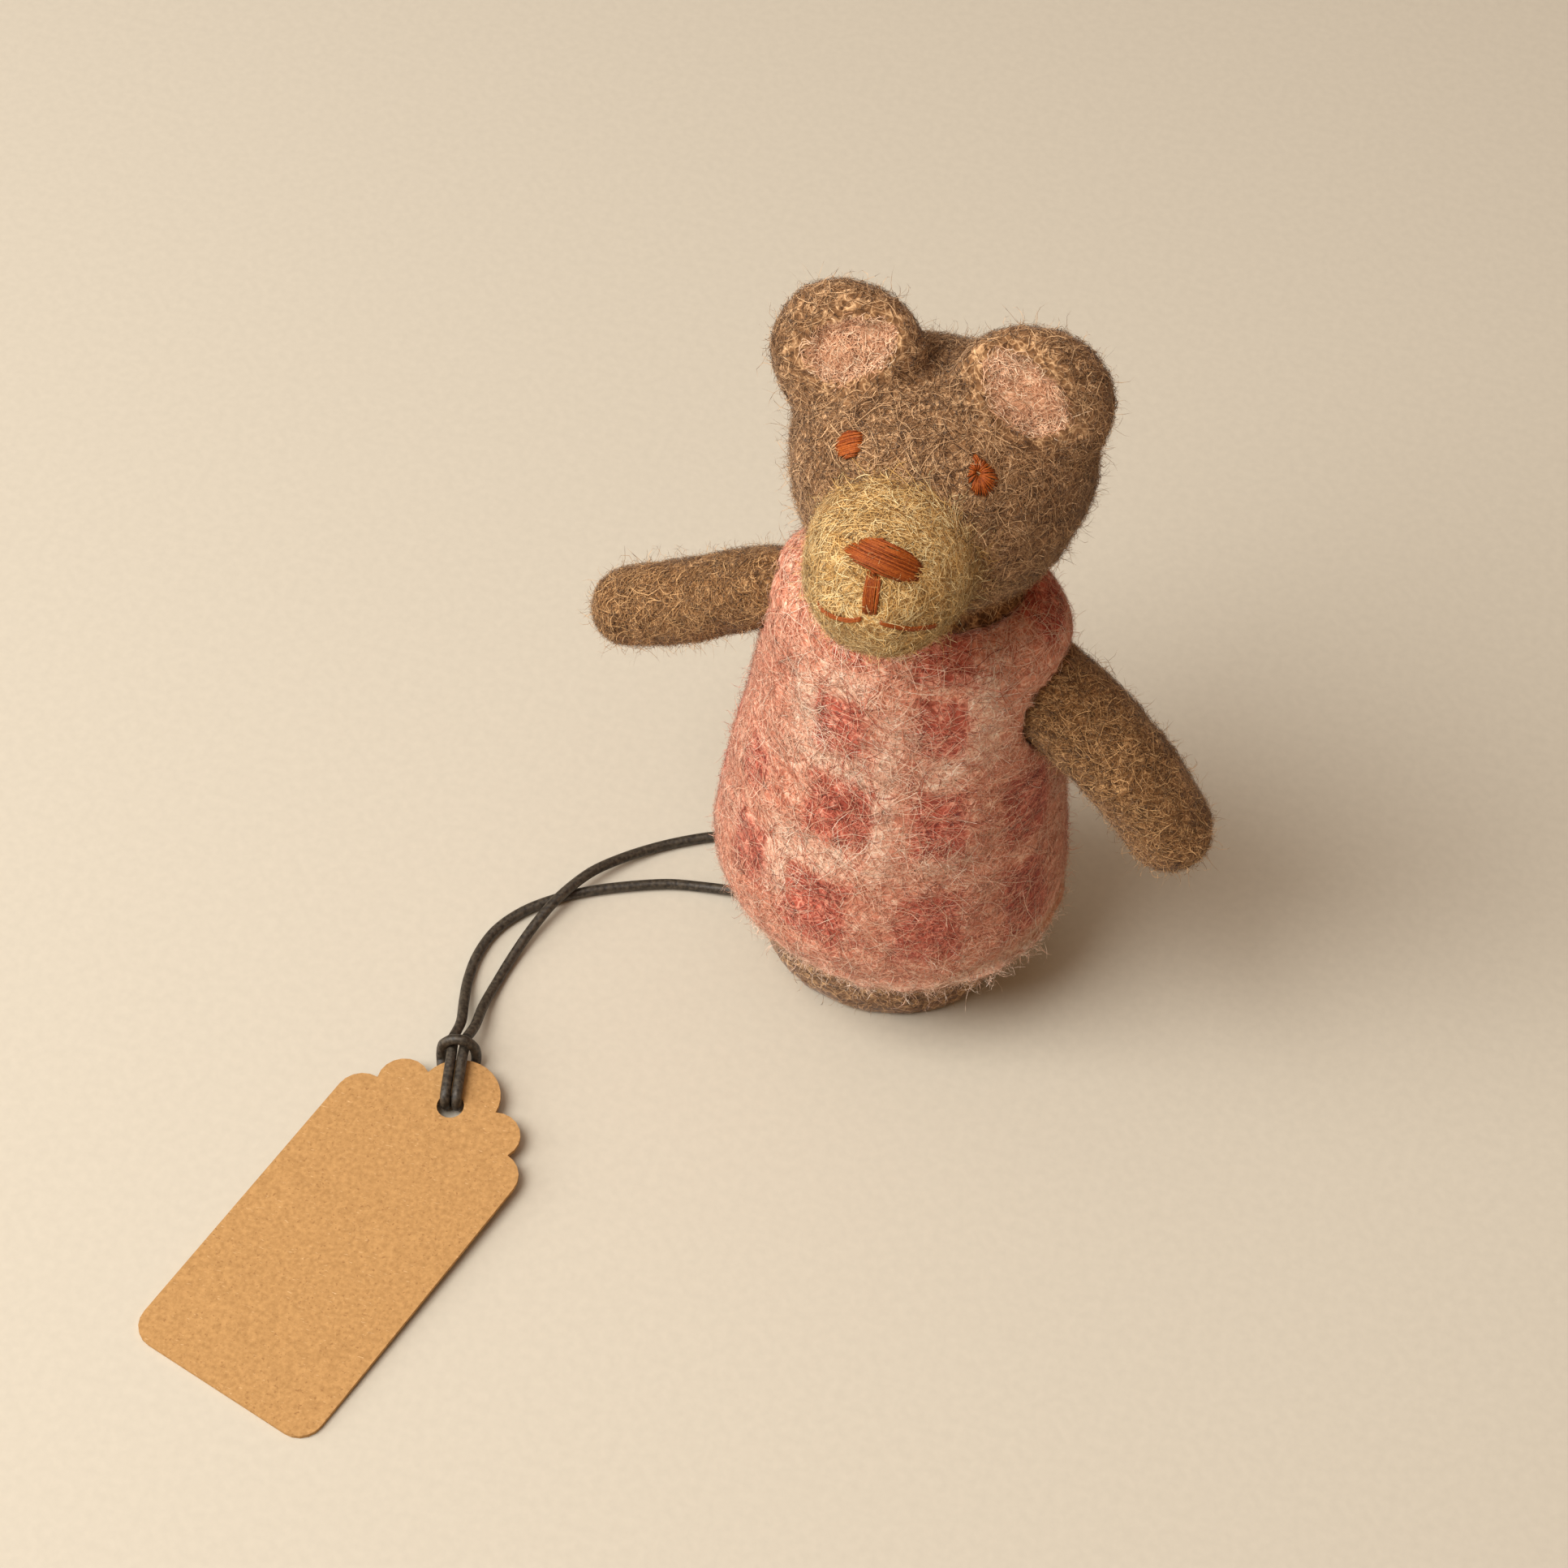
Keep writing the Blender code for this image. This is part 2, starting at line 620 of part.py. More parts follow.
def build_nose(muzzle, material, parent):
    """The stitched nose, the upright stitch below it and the two halves of the mouth."""
    surface = surface_of(muzzle)
    across = Vector((1.0, 0.0, 0.0))
    upright = Vector((0.0, 0.0, 1.0))
    front = Vector((0.0, 1.0, -NOSE_SLOPE)).normalized()
    base = MUZZLE_CENTRE.z
    middle = MUZZLE_CENTRE.x
    start = Vector((middle + NOSE_MIDDLE, -FAR_OFF, base + NOSE_OFFSET + NOSE_RISE))
    up = across.cross(front)
    nose = oval_outlines(start, across, up, *NOSE_SIZE, NOSE_COUNT, taper=NOSE_TAPER)
    build_pad("nose", nose, front, surface, STITCH_THICKNESS, material, parent)
    level = Vector((0.0, 1.0, 0.0))
    stitch = []
    for index in range(STITCH_COUNT + 1):
        height = base + NOSE_STITCH_FROM + (NOSE_STITCH_TO - NOSE_STITCH_FROM) * index / STITCH_COUNT
        stitch.append(Vector((middle + NOSE_STITCH_MIDDLE, -FAR_OFF, height)))
    outlines = ribbon_outlines(stitch, NOSE_STITCH_WIDTH, across)
    build_pad("nose_stitch", outlines, level, surface, STITCH_THICKNESS, material, parent)
    for side, name in ((1, "mouth_left"), (-1, "mouth_right")):
        line = []
        for index in range(MOUTH_COUNT + 1):
            share = index / MOUTH_COUNT
            offset = MOUTH_START + (MOUTH_HALF_WIDTH - MOUTH_START) * share
            height = base + MOUTH_OFFSET - MOUTH_DIP * math.sin(math.pi * share)
            line.append(Vector((middle + MOUTH_MIDDLE + side * offset, -FAR_OFF, height)))
        outlines = ribbon_outlines(line, MOUTH_WIDTH, upright)
        build_pad(name, outlines, level, surface, STITCH_THICKNESS, material, parent)


def arm_rings(line, radii, growth):
    """Rings round an arm's centre line, closing to a round tip."""
    points = [Vector((x, y, SHOULDER_HEIGHT + rise)) for x, y, rise in line]
    count = ARM_RINGS_PER_POINT * (len(line) - 1)
    places = [index / ARM_RINGS_PER_POINT for index in range(count + 1)]
    centres = [at_share(points, place) for place in places]
    sizes = [at_share(radii, place) + growth for place in places]
    rings = []
    for index, centre in enumerate(centres):
        ahead = centres[min(index + 1, count)] - centres[max(index - 1, 0)]
        rings.append(ring_across(centre, ahead.normalized(), sizes[index]))
    along = (centres[-1] - centres[-2]).normalized()
    for step in range(1, ARM_TIP_RINGS + 1):
        angle = math.pi / 2 * step / (ARM_TIP_RINGS + 1)
        centre = centres[-1] + along * sizes[-1] * math.sin(angle)
        rings.append(ring_across(centre, along, sizes[-1] * math.cos(angle)))
    return rings, centres[0], centres[-1] + along * sizes[-1]


def ring_across(centre, along, radius):
    """A ring of points square to a direction."""
    side = Vector((0.0, 1.0, 0.0))
    side = (side - along * side.dot(along)).normalized()
    other = along.cross(side)
    ring = []
    for index in range(ARM_SIDES):
        angle = 2 * math.pi * index / ARM_SIDES
        ring.append(centre + (side * math.cos(angle) + other * math.sin(angle)) * radius)
    return ring


def build_arm(name, line, radii, growth, material, parent):
    """One felted arm."""
    rings, start, end = arm_rings(line, radii, growth)
    return make_piece(name, skin_rings(rings, start, end), material, parent)


def tag_outline():
    """The card's outline, anticlockwise from its left edge near the square end."""
    inset = TAG_HALF_WIDTH - TAG_CORNER
    left = Vector((-inset, TAG_CORNER))
    right = Vector((inset, TAG_CORNER))
    outward = Vector((TAG_CORNER, 0.0))
    down = Vector((0.0, -TAG_CORNER))
    points = arc_points(left, TAG_CORNER, left - outward, left + down)
    points += [left + down]
    points += arc_points(right, TAG_CORNER, right + down, right + outward)
    points += [right + outward]
    scallops = [(Vector((off, along)), radius) for off, along, radius in (TAG_SHOULDER, TAG_SCALLOP)]
    mirrored = [(Vector((-centre.x, centre.y)), radius) for centre, radius in reversed(scallops)]
    chain = scallops + [(Vector(TAG_LOBE[:2]), TAG_LOBE[2])] + mirrored
    meets = [circles_meet(first, second) for first, second in zip(chain, chain[1:])]
    first_point = chain[0][0] + Vector((chain[0][1], 0.0))
    last_point = chain[-1][0] - Vector((chain[-1][1], 0.0))
    ends = [first_point] + meets + [last_point]
    for (centre, radius), start, end in zip(chain, ends, ends[1:]):
        points += arc_points(centre, radius, start, end)
    points.append(last_point)
    return points


def circles_meet(first, second):
    """The crossing of two circles on the side of the card's scalloped edge."""
    (one, radius_one), (two, radius_two) = first, second
    apart = (two - one).length
    along = (apart**2 + radius_one**2 - radius_two**2) / (2 * apart)
    off = math.sqrt(max(radius_one**2 - along**2, 0.0))
    unit = (two - one) / apart
    return one + unit * along + Vector((unit.y, -unit.x)) * off


def arc_points(centre, radius, start, end):
    """Points along a circle from start towards end, without the end itself."""
    first = math.atan2(start.y - centre.y, start.x - centre.x)
    last = math.atan2(end.y - centre.y, end.x - centre.x)
    if last < first:
        last += 2 * math.pi
    count = max(3, round((last - first) * radius / TAG_OUTLINE_STEP))
    points = []
    for index in range(count):
        angle = first + (last - first) * index / count
        points.append(centre + Vector((math.cos(angle), math.sin(angle))) * radius)
    return points


def tag_frame():
    """Where the card lies: square end on the floor, hole end raised on the hitch."""
    lift = 2 * CORD_RADIUS + GAP + FLOOR_CLEARANCE
    slope = math.asin(lift / TAG_HOLE_FROM_END)
    turn = Matrix.Rotation(TAG_AIM - math.pi / 2, 4, "Z") @ Matrix.Rotation(slope, 4, "X")
    hole = turn @ Vector((0.0, TAG_HOLE_FROM_END, 0.0))
    place = Vector((TAG_HOLE_PLACE.x - hole.x, TAG_HOLE_PLACE.y - hole.y, 0.0))
    return Matrix.Translation(place) @ turn


def build_tag(material, parent):
    """The card with its scalloped end and its hole."""
    outline = tag_outline()
    middle = Vector((0.0, TAG_HOLE_FROM_END))
    hole = []
    for index in range(TAG_HOLE_SIDES):
        angle = 2 * math.pi * index / TAG_HOLE_SIDES
        hole.append(middle + Vector((math.cos(angle), math.sin(angle))) * TAG_HOLE_RADIUS)
    shape = bmesh.new()
    edges = []
    for loop in (outline, hole):
        corners = [shape.verts.new((point.x, point.y, 0.0)) for point in loop]
        for index, corner in enumerate(corners):
            edges.append(shape.edges.new((corner, corners[(index + 1) % len(corners)])))
    bmesh.ops.triangle_fill(shape, use_beauty=True, edges=edges)
    sheet = bmesh.ops.extrude_face_region(shape, geom=list(shape.faces))
    lifted = [item for item in sheet["geom"] if isinstance(item, bmesh.types.BMVert)]
    bmesh.ops.translate(shape, verts=lifted, vec=(0.0, 0.0, TAG_THICKNESS))
    shape.transform(tag_frame())
    return make_piece("swing_tag", shape, material, parent, smooth=False)


def hitch_frame():
    """Local axes of the hitch: X runs from the arch to the hole and Y to its right."""
    along = Vector((math.cos(HITCH_AIM), math.sin(HITCH_AIM), 0.0))
    right = Vector((-along.y, along.x, 0.0))
    start = TAG_HOLE_PLACE - along * HITCH_TO_HOLE
    return start, along, right


def hitch_line():
    """The cord's own path through the hitch, from one strand to the other."""
    start, along, right = hitch_frame()
    thick = 2 * CORD_RADIUS
    under = FLOOR_LINE
    over = thick + 2 * GAP + TAG_THICKNESS + CORD_RADIUS + FLOOR_CLEARANCE
    turn = (over - under) / 2
    reach = HITCH_TO_HOLE
    bend = reach - GAP - turn
    wide = HITCH_HALF_WIDTH
    half = (
        (-0.19 * reach, 1.15 * STRAND_SPREAD, over),
        (0.14 * reach, STRAND_SPREAD, over + 0.2 * thick),
        (0.49 * reach, STRAND_SPREAD, over + 0.1 * thick),
        (bend, STRAND_SPREAD, over),
        (bend + turn * 0.71, STRAND_SPREAD, over - turn * 0.29),
        (bend + turn, STRAND_SPREAD, over - turn),
        (bend + turn * 0.71, STRAND_SPREAD, under + turn * 0.29),
        (bend, 1.1 * STRAND_SPREAD, under),
        (0.51 * reach, 0.5 * wide, under),
        (0.24 * reach, 0.83 * wide, under),
        (0.06 * reach, 0.98 * wide, under + 0.23 * thick),
        (-0.01 * reach, wide, under + thick),
        (-0.015 * reach, 0.9 * wide, under + 2.1 * thick),
        (-0.015 * reach, 0.62 * wide, over + 0.91 * thick),
        (-0.015 * reach, 0.29 * wide, over + 1.32 * thick),
    )
    right_half = [start + along * ahead + right * off + Vector((0, 0, up)) for ahead, off, up in half]
    left_half = [start + along * ahead - right * off + Vector((0, 0, up)) for ahead, off, up in half]
    return right_half + left_half[::-1]


def build_tube(name, line, material, parent):
    """A plain tube along a line of points."""
    curve = bpy.data.curves.new(name, "CURVE")
    curve.dimensions = "3D"
    curve.bevel_depth = CORD_RADIUS
    curve.bevel_resolution = 2
    curve.use_fill_caps = True
    spline = curve.splines.new("POLY")
    spline.points.add(len(line) - 1)
    for point, place in zip(spline.points, line):
        point.co = (*place, 1.0)
    curve.materials.append(material)
    tube = bpy.data.objects.new(name, curve)
    bpy.context.scene.collection.objects.link(tube)
    tube.parent = parent
    return tube


def build_cord(material, parent):
    """Both strands on the floor and the hitch that ties them to the card."""
    hitch = smooth_line(hitch_line(), HITCH_STEP)
    build_tube("hitch", hitch, material, parent)
    first, last = hitch[0], hitch[-1]
    ends = {
        "tag_cord_a": (STRAND_A_ROUTE, first, (first - hitch[1]).normalized()),
        "tag_cord_b": (STRAND_B_ROUTE, last, (last - hitch[-2]).normalized()),
    }
    for name, (route, end, outward) in ends.items():
        places = [Vector((x, y, FLOOR_LINE + rise)) for x, y, rise in route]
        places.append(end + outward * GAP)
        build_tube(name, smooth_line(places, CORD_STEP), material, parent)


def centre_puppet(origin):
    """Move the puppet so that its box, without the cord and card, stands centred on the origin."""
    bpy.context.view_layer.update()
    pieces = [piece for piece in origin.children if piece.name not in CORD_PIECES]
    corners = [piece.matrix_world @ vertex.co for piece in pieces for vertex in piece.data.vertices]
    for axis in (0, 1):
        values = [corner[axis] for corner in corners]
        origin.location[axis] = -(min(values) + max(values)) / 2


def build_puppet():
    """Every piece of the puppet."""
    clear_scene()
    origin = bpy.data.objects.new("puppet_origin", None)
    bpy.context.scene.collection.objects.link(origin)
    brown = make_material("brown_wool", BROWN_WOOL, 0.95)
    tan = make_material("tan_wool", TAN_WOOL, 0.95)
    pink = make_material("pink_wool", PINK_WOOL, 0.95)
    rose = make_material("rose_wool", ROSE_WOOL, 0.95)
    lining = make_material("lining_wool", LINING_WOOL, 0.95)
    rust = make_material("rust_thread", RUST_THREAD, 0.8)
    waxed = make_material("waxed_cord", WAXED_CORD, 0.55)
    card = make_material("kraft_card", KRAFT_CARD, 0.9)

    build_body(brown, origin)
    body_shape = body_cutter(origin)
    head = build_head(brown, origin, body_shape)
    muzzle = build_muzzle(tan, origin)
    dress = build_dress(pink, origin, body_shape)
    arms = (("arm_left", LEFT_ARM_LINE, LEFT_ARM_RADII), ("arm_right", RIGHT_ARM_LINE, RIGHT_ARM_RADII))
    for name, line, radii in arms:
        arm = build_arm(name, line, radii, 0.0, brown, origin)
        boolean(arm, body_shape, "DIFFERENCE")
        hole = build_arm("armhole", line, radii, ARMHOLE_CLEARANCE, None, origin)
        boolean(dress, hole, "DIFFERENCE")
        bpy.data.objects.remove(hole)
    skull = build_skull("skull_cutter", GAP, None, origin)
    boolean(dress, skull, "DIFFERENCE")
    bpy.data.objects.remove(skull)
    bpy.data.objects.remove(body_shape)
    colour_checks(dress, rose)
    build_linings(head, lining, origin)
    build_eyes(head, rust, origin)
    build_nose(muzzle, rust, origin)
    build_tag(card, origin)
    build_cord(waxed, origin)
    centre_puppet(origin)


build_puppet()
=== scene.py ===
"""Looks of the felted finger puppet: soft wool forms and their fibres, the stitches, the card and the cord.

Everything is in metres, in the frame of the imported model. The puppet faces -Y and its left side is +X.
"""

import math

import bmesh
import bpy
import numpy as np
from mathutils import Matrix, Vector, noise
from mathutils.bvhtree import BVHTree


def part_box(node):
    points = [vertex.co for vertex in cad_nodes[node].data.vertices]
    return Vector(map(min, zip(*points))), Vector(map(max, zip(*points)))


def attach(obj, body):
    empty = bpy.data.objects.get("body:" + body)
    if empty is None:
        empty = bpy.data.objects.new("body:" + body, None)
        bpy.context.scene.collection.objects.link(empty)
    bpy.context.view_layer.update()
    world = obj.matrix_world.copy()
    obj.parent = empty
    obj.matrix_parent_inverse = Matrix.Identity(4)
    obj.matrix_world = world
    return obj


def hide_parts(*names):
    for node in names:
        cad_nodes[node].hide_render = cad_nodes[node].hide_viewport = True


MM = 0.001
# Where the puppet's own upright axis stands in the model's frame
AXIS = Vector((0.794 * MM, 2.435 * MM, 0.0))

# Camera: the view of the photograph, in its own pixels
FRAME_PIXELS = 1932
FOCAL_PIXELS = 4500
SENSOR_WIDTH = 36.0
CLIP_RANGE = (0.01, 20.0)
CAMERA_AZIMUTH = math.radians(15.5)
CAMERA_ELEVATION = math.radians(53.0)
CAMERA_ROLL = math.radians(2.5)
CAMERA_DISTANCE = 428 * MM
AXIS_PIXEL = (1098, 1147)

# Wool colours, linear: deep gaps, most fibres, palest fibres
BROWN = ((0.065, 0.027, 0.009), (0.33, 0.168, 0.072), (0.82, 0.53, 0.29))
WARM_BROWN = ((0.055, 0.022, 0.006), (0.31, 0.148, 0.052), (0.80, 0.49, 0.23))
# Brown darkened as painted shade: for the ring round the ear linings and for the body under the pinafore's
# overhang
SHADED_BROWN = ((0.050, 0.020, 0.007), (0.25, 0.122, 0.050), (0.66, 0.41, 0.21))
TAN = ((0.25, 0.11, 0.022), (0.80, 0.485, 0.165), (0.98, 0.83, 0.47))
PINK = ((0.45, 0.115, 0.062), (0.78, 0.33, 0.208), (0.97, 0.67, 0.51))
ROSE = ((0.20, 0.024, 0.015), (0.55, 0.112, 0.065), (0.86, 0.38, 0.27))
PALE = ((0.66, 0.30, 0.20), (0.92, 0.60, 0.44), (0.99, 0.86, 0.73))
WISP = ((0.62, 0.26, 0.165), (0.88, 0.53, 0.37), (0.98, 0.82, 0.67))
LINING = ((0.50, 0.235, 0.125), (0.88, 0.50, 0.30), (0.97, 0.76, 0.54))
RUST = ((0.09, 0.014, 0.002), (0.27, 0.054, 0.006), (0.54, 0.15, 0.024))
# Other colours, linear
CORD_COLOURS = ((0.017, 0.013, 0.009), (0.075, 0.060, 0.042))
CARD_COLOURS = ((0.415, 0.230, 0.085), (0.565, 0.325, 0.128))
CARD_DARK_FLECK = (0.36, 0.19, 0.07)
CARD_PALE_FLECK = (0.74, 0.49, 0.25)
FLOOR_COLOUR = (0.63, 0.59, 0.50)
ROOM_COLOUR = (1.0, 0.63, 0.37, 1.0)
ROOM_STRENGTH = 0.26
LAMP_COLOUR = (1.0, 0.965, 0.91)
BLACK, WHITE = (0.0, 0.0, 0.0), (1.0, 1.0, 1.0)
PATCH_SHADE = (0.80, 0.80, 0.80)
# Where a wool's three colours stand along the felt's grain and along the shades of its fibres
FELT_STOPS = (0.36, 0.58, 0.95)
FIBRE_STOPS = (0.0, 0.45, 1.0)

# Grain of the materials, in waves a metre
FELT_FINE, FELT_CROSS = 1500.0, 420.0
# Curly lines in the felt: seed, waves a metre, width
FELT_STRANDS = ((1, 330.0, 0.022), (2, 480.0, 0.026), (3, 700.0, 0.034))
FIBRE_PATCHES = 260.0
THREAD_TWIST = 5200.0
CARD_MOTTLE, CARD_FLECKS, CARD_STRANDS = 1900.0, 2600.0, 1400.0
CORD_BRAID = 2400.0
FLOOR_GRAIN = 900.0

# Soft forms: growth over the model's pieces, voxel size and rounds of smoothing
HEAD_FORM = ((("head", 0.1 * MM), ("muzzle", 0.25 * MM)), 0.7 * MM, 5)
ARM_VOXEL, ARM_ROUNDS = 0.6 * MM, 3
BODY_FORM = ((("body", 0.35 * MM),), 1.25 * MM, 2)
DRESS_FORM = ((("dress", 0.0),), 0.75 * MM, 2)
LUMP_SIZE = 5.0 * MM
LUMP_DEPTH = 0.22 * MM
GRAIN_SIZE = 1.3 * MM
GRAIN_DEPTH = 0.10 * MM

# Matted fibres: how many, random seed, length, and how far they rise off the felt
FIBRES = {
    "head_fibres": (19000, 11, 3.8 * MM, 0.20 * MM),
    "muzzle_fibres": (7500, 12, 3.8 * MM, 0.20 * MM),
    "lining_fibres": (5200, 15, 1.8 * MM, 0.22 * MM),
    "arm_left_fibres": (7500, 22, 3.6 * MM, 0.18 * MM),
    "arm_right_fibres": (7500, 32, 3.6 * MM, 0.18 * MM),
    "body_fibres": (3600, 44, 3.2 * MM, 0.10 * MM),
    "dress_fibres": (18500, 52, 4.4 * MM, 0.16 * MM),
    "dress_long_fibres": (6000, 55, 5.5 * MM, 0.24 * MM),
}
# Loose fibres: how many, random seed and length
LOOSE_FIBRES = {
    "head_fuzz": (16000, 13, 1.25 * MM),
    "head_stray_hairs": (240, 14, 2.4 * MM),
    "arm_left_fuzz": (5000, 23, 1.2 * MM),
    "arm_right_fuzz": (5000, 33, 1.2 * MM),
    "body_fuzz": (2200, 45, 1.0 * MM),
    "dress_fuzz": (13000, 53, 0.95 * MM),
    "hem_fuzz": (6000, 54, 1.3 * MM),
}
FIBRE_STEPS = 5
FUZZ_STEPS = 4
FIBRE_WIDTH = 0.062 * MM
LONG_FIBRE_WIDTH = 0.045 * MM
FUZZ_WIDTH = 0.036 * MM
# Shares of a usual length or width that fibres come in
SHORTEST = 0.4
THINNEST, THICKEST = 0.7, 1.3
# Spread of headings in radians, and how far those of the arms turn from their length
ANY_WAY, MUZZLE_SPREAD, ARM_SPREAD, DRESS_SPREAD, LONG_SPREAD = 3.0, 0.3, 0.7, 0.4, 0.5
ARM_WIND = 0.6
# How far fibres stray over the edge of a zone, where 1 is from wholly out to wholly in
ZONE_STRAY = 0.12
# Locks of fibres of like shade: two sizes, and how much they change the shade
SMALL_LOCK = 1.3 * MM
LARGE_LOCK = 3.5 * MM
LOCK_SHARE = 0.27
# How deep the ends of fibres are tucked in
TUCK = 0.05 * MM
LOOSE_TUCK = 0.1 * MM

# Ear linings: reach of the pink wool and of the darker ring round it, which is painted shade of the recess
# the linings sit in, each with its soft edge
LINING_REACH, LINING_EDGE = 0.42 * MM, 0.15 * MM
CREASE_SHADE_REACH, CREASE_SHADE_EDGE = 1.9 * MM, 0.9 * MM
# How much of the painted shade colour the ring round the linings takes
CREASE_SHADE_SHARE = 0.65
LINING_DEPTH = 0.9 * MM
# How far brown fibres and fuzz stay off the linings, and how far the linings' own fibres reach
CLEAR_OF_FIBRES = 0.6 * MM
CLEAR_OF_FUZZ = 1.3 * MM
LINING_FIBRE_REACH = 1.0 * MM
# Muzzle: the edge of its tan wool wanders and blends, and its fibres go round an axis
MUZZLE_WANDER_SIZE, MUZZLE_WANDER = 2.2 * MM, 0.5 * MM
MUZZLE_BLEND = (-0.4 * MM, 0.5 * MM)
MUZZLE_SWIRL_RADIUS = 12.5 * MM
MUZZLE_AXIS = (0.0, -1.0, 0.35)
# Body: its fibres end above the hem's level and begin again below the neckline; its foot has none,
# and its grain fades out towards the floor
RIM_REACH, NECK_REACH, REACH_EDGE = 3 * MM, 4 * MM, 2 * MM
PLAIN_FOOT = (0.6 * MM, 1.6 * MM)
GRAIN_FROM = 1.5 * MM

# The felted check on the pinafore: middle angle from the front, middle height, half angle, half height
SQUARES = (
    (-17.8, 24.8, 12.0, 5.2), (25.6, 24.6, 12.2, 5.2), (-15.0, 40.1, 14.3, 4.5),
    (27.7, 40.5, 10.5, 4.7), (-21.3, 52.1, 13.1, 3.8), (27.1, 54.9, 11.9, 3.9),
    (-24.9, 62.4, 10.8, 1.5), (27.8, 62.8, 15.2, 2.1), (-49.0, 26.6, 8.8, 4.2),
    (-57.0, 38.2, 6.5, 3.4), (65.0, 24.8, 11.0, 6.4), (65.5, 39.8, 10.0, 5.6),
    (97.0, 64.0, 18.0, 2.4), (107.0, 26.0, 12.0, 5.5), (107.0, 41.0, 11.0, 4.8),
    (148.0, 26.5, 12.0, 5.5), (148.0, 40.5, 12.0, 4.8), (150.0, 53.5, 12.0, 4.0),
    (-170.0, 26.0, 12.0, 5.5), (-169.0, 40.5, 11.0, 4.8), (-171.0, 53.5, 12.0, 4.0),
    (-127.0, 26.5, 12.0, 5.5), (-127.0, 40.5, 11.5, 4.8), (-130.0, 53.5, 12.0, 4.0),
    (-88.0, 26.0, 10.0, 5.0), (-90.0, 40.0, 9.0, 4.4),
)
# Pale patches between the squares of a column
PALE_PATCHES = (
    (-17.0, 32.8, 13.0, 2.0), (26.5, 34.4, 9.0, 1.2), (-19.0, 46.6, 14.0, 1.9),
    (27.0, 47.8, 9.0, 2.0), (-22.0, 58.2, 12.0, 1.8), (4.0, 44.0, 5.0, 12.0),
    (-40.0, 50.0, 7.0, 7.0), (-36.0, 30.0, 5.0, 6.0), (46.0, 56.0, 7.0, 6.0),
    (128.0, 40.0, 6.0, 16.0), (170.0, 40.0, 6.0, 16.0), (-148.0, 40.0, 6.0, 16.0),
    (-107.0, 38.0, 6.0, 14.0),
)
PALE_EDGE = 1.6 * MM
SQUARE_EDGE = 0.9 * MM
# How much fewer fibres, and long fibres, lie on the squares
SQUARE_THINNING = (0.4, 0.65)
PATCH_WANDER_SIZE = 2.4 * MM
PATCH_WANDER = 0.9 * MM
# Hem: the lowest stretch flares out and rises, more so on the camera's right, and ends in a pale lip: pale
# fibres of the felt, widened under the curve as painted light where the hem turns into shade.
# Its flare is an even share, one by how far it lies to the right, and a ragged one
HEM_HEIGHT = 7.0 * MM
HEM_FLARE = 2.2 * MM
HEM_RISE = 2.1 * MM
HEM_TILT = 0.9
HEM_EVEN, HEM_TURN, HEM_RAG = 0.8, 0.6, 0.35
HEM_PALE_LIT_LIP = 3.4 * MM
HEM_PALE_LIT_LIP_EDGE = 2.0 * MM
HEM_FUZZ_HEIGHT, HEM_FUZZ_EDGE = 1.8 * MM, 1.0 * MM
HEM_RAG_SIZE = 2.5 * MM

# Floor and lamps: name, direction from the puppet (right in the picture, towards the camera, up),
# distance, size and power
FLOOR_HALF = 3.0
FLOOR_DROP = -0.05 * MM
LAMP_AIM = 40 * MM
LAMPS = (
    ("fill", (-1.0, 0.15, 0.32), 0.7, 0.5, 2.4),
    ("sky", (-0.15, 0.0, 1.0), 0.8, 0.9, 1.5),
    ("key", (-0.78, 0.38, 1.25), 0.75, 0.54, 5.5),
)

# Cord
CORD_RADIUS = 0.61 * MM
CLEARANCE = 0.02 * MM
FLOOR_LINE = CORD_RADIUS + CLEARANCE
CORD_RESOLUTION = 3
ROUTE_STEPS = 5

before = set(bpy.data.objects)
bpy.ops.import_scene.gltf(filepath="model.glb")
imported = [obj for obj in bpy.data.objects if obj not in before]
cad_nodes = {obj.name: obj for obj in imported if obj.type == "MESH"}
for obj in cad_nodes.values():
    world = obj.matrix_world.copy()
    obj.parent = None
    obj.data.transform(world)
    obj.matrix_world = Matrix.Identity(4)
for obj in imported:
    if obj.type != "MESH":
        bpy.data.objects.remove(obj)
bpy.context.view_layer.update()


def link_object(name, data):
    """A new object of the scene."""
    item = bpy.data.objects.new(name, data)
    bpy.context.scene.collection.objects.link(item)
    return item


# Camera


def camera_axes():
    """Right, up and backward directions of the camera."""
    azimuth, elevation = CAMERA_AZIMUTH, CAMERA_ELEVATION
    level = math.cos(elevation)
    back = Vector((math.sin(azimuth) * level, -math.cos(azimuth) * level, math.sin(elevation)))
    right = Vector((math.cos(azimuth), math.sin(azimuth), 0.0))
    up = back.cross(right)
    cos, sin = math.cos(CAMERA_ROLL), math.sin(CAMERA_ROLL)
    return right * cos + up * sin, up * cos - right * sin, back


def pixel_slopes(pixel):
    """How far a pixel lies right of and above the middle of the picture, at distance one."""
    half = FRAME_PIXELS / 2
    return (pixel[0] - half) / FOCAL_PIXELS, (half - pixel[1]) / FOCAL_PIXELS


def camera_place():
    """The camera's position, from the pixel where the puppet's axis meets the floor."""
    right, up, back = camera_axes()
    across, above = (slope * CAMERA_DISTANCE for slope in pixel_slopes(AXIS_PIXEL))
    return AXIS - right * across - up * above + back * CAMERA_DISTANCE


def make_camera():
    """The camera of the photograph."""
    data = bpy.data.cameras.new("camera")
    data.sensor_width = SENSOR_WIDTH
    data.lens = SENSOR_WIDTH * FOCAL_PIXELS / FRAME_PIXELS
    data.clip_start, data.clip_end = CLIP_RANGE
    camera = link_object("camera", data)
    turn = Matrix(camera_axes()).transposed().to_4x4()
    camera.matrix_world = Matrix.Translation(camera_place()) @ turn
    bpy.context.scene.camera = camera


def pixel_ray(pixel):
    """Direction from the camera through a pixel of the photograph."""
    right, up, back = camera_axes()
    across, above = pixel_slopes(pixel)
    return (right * across + up * above - back).normalized()


# Material nodes


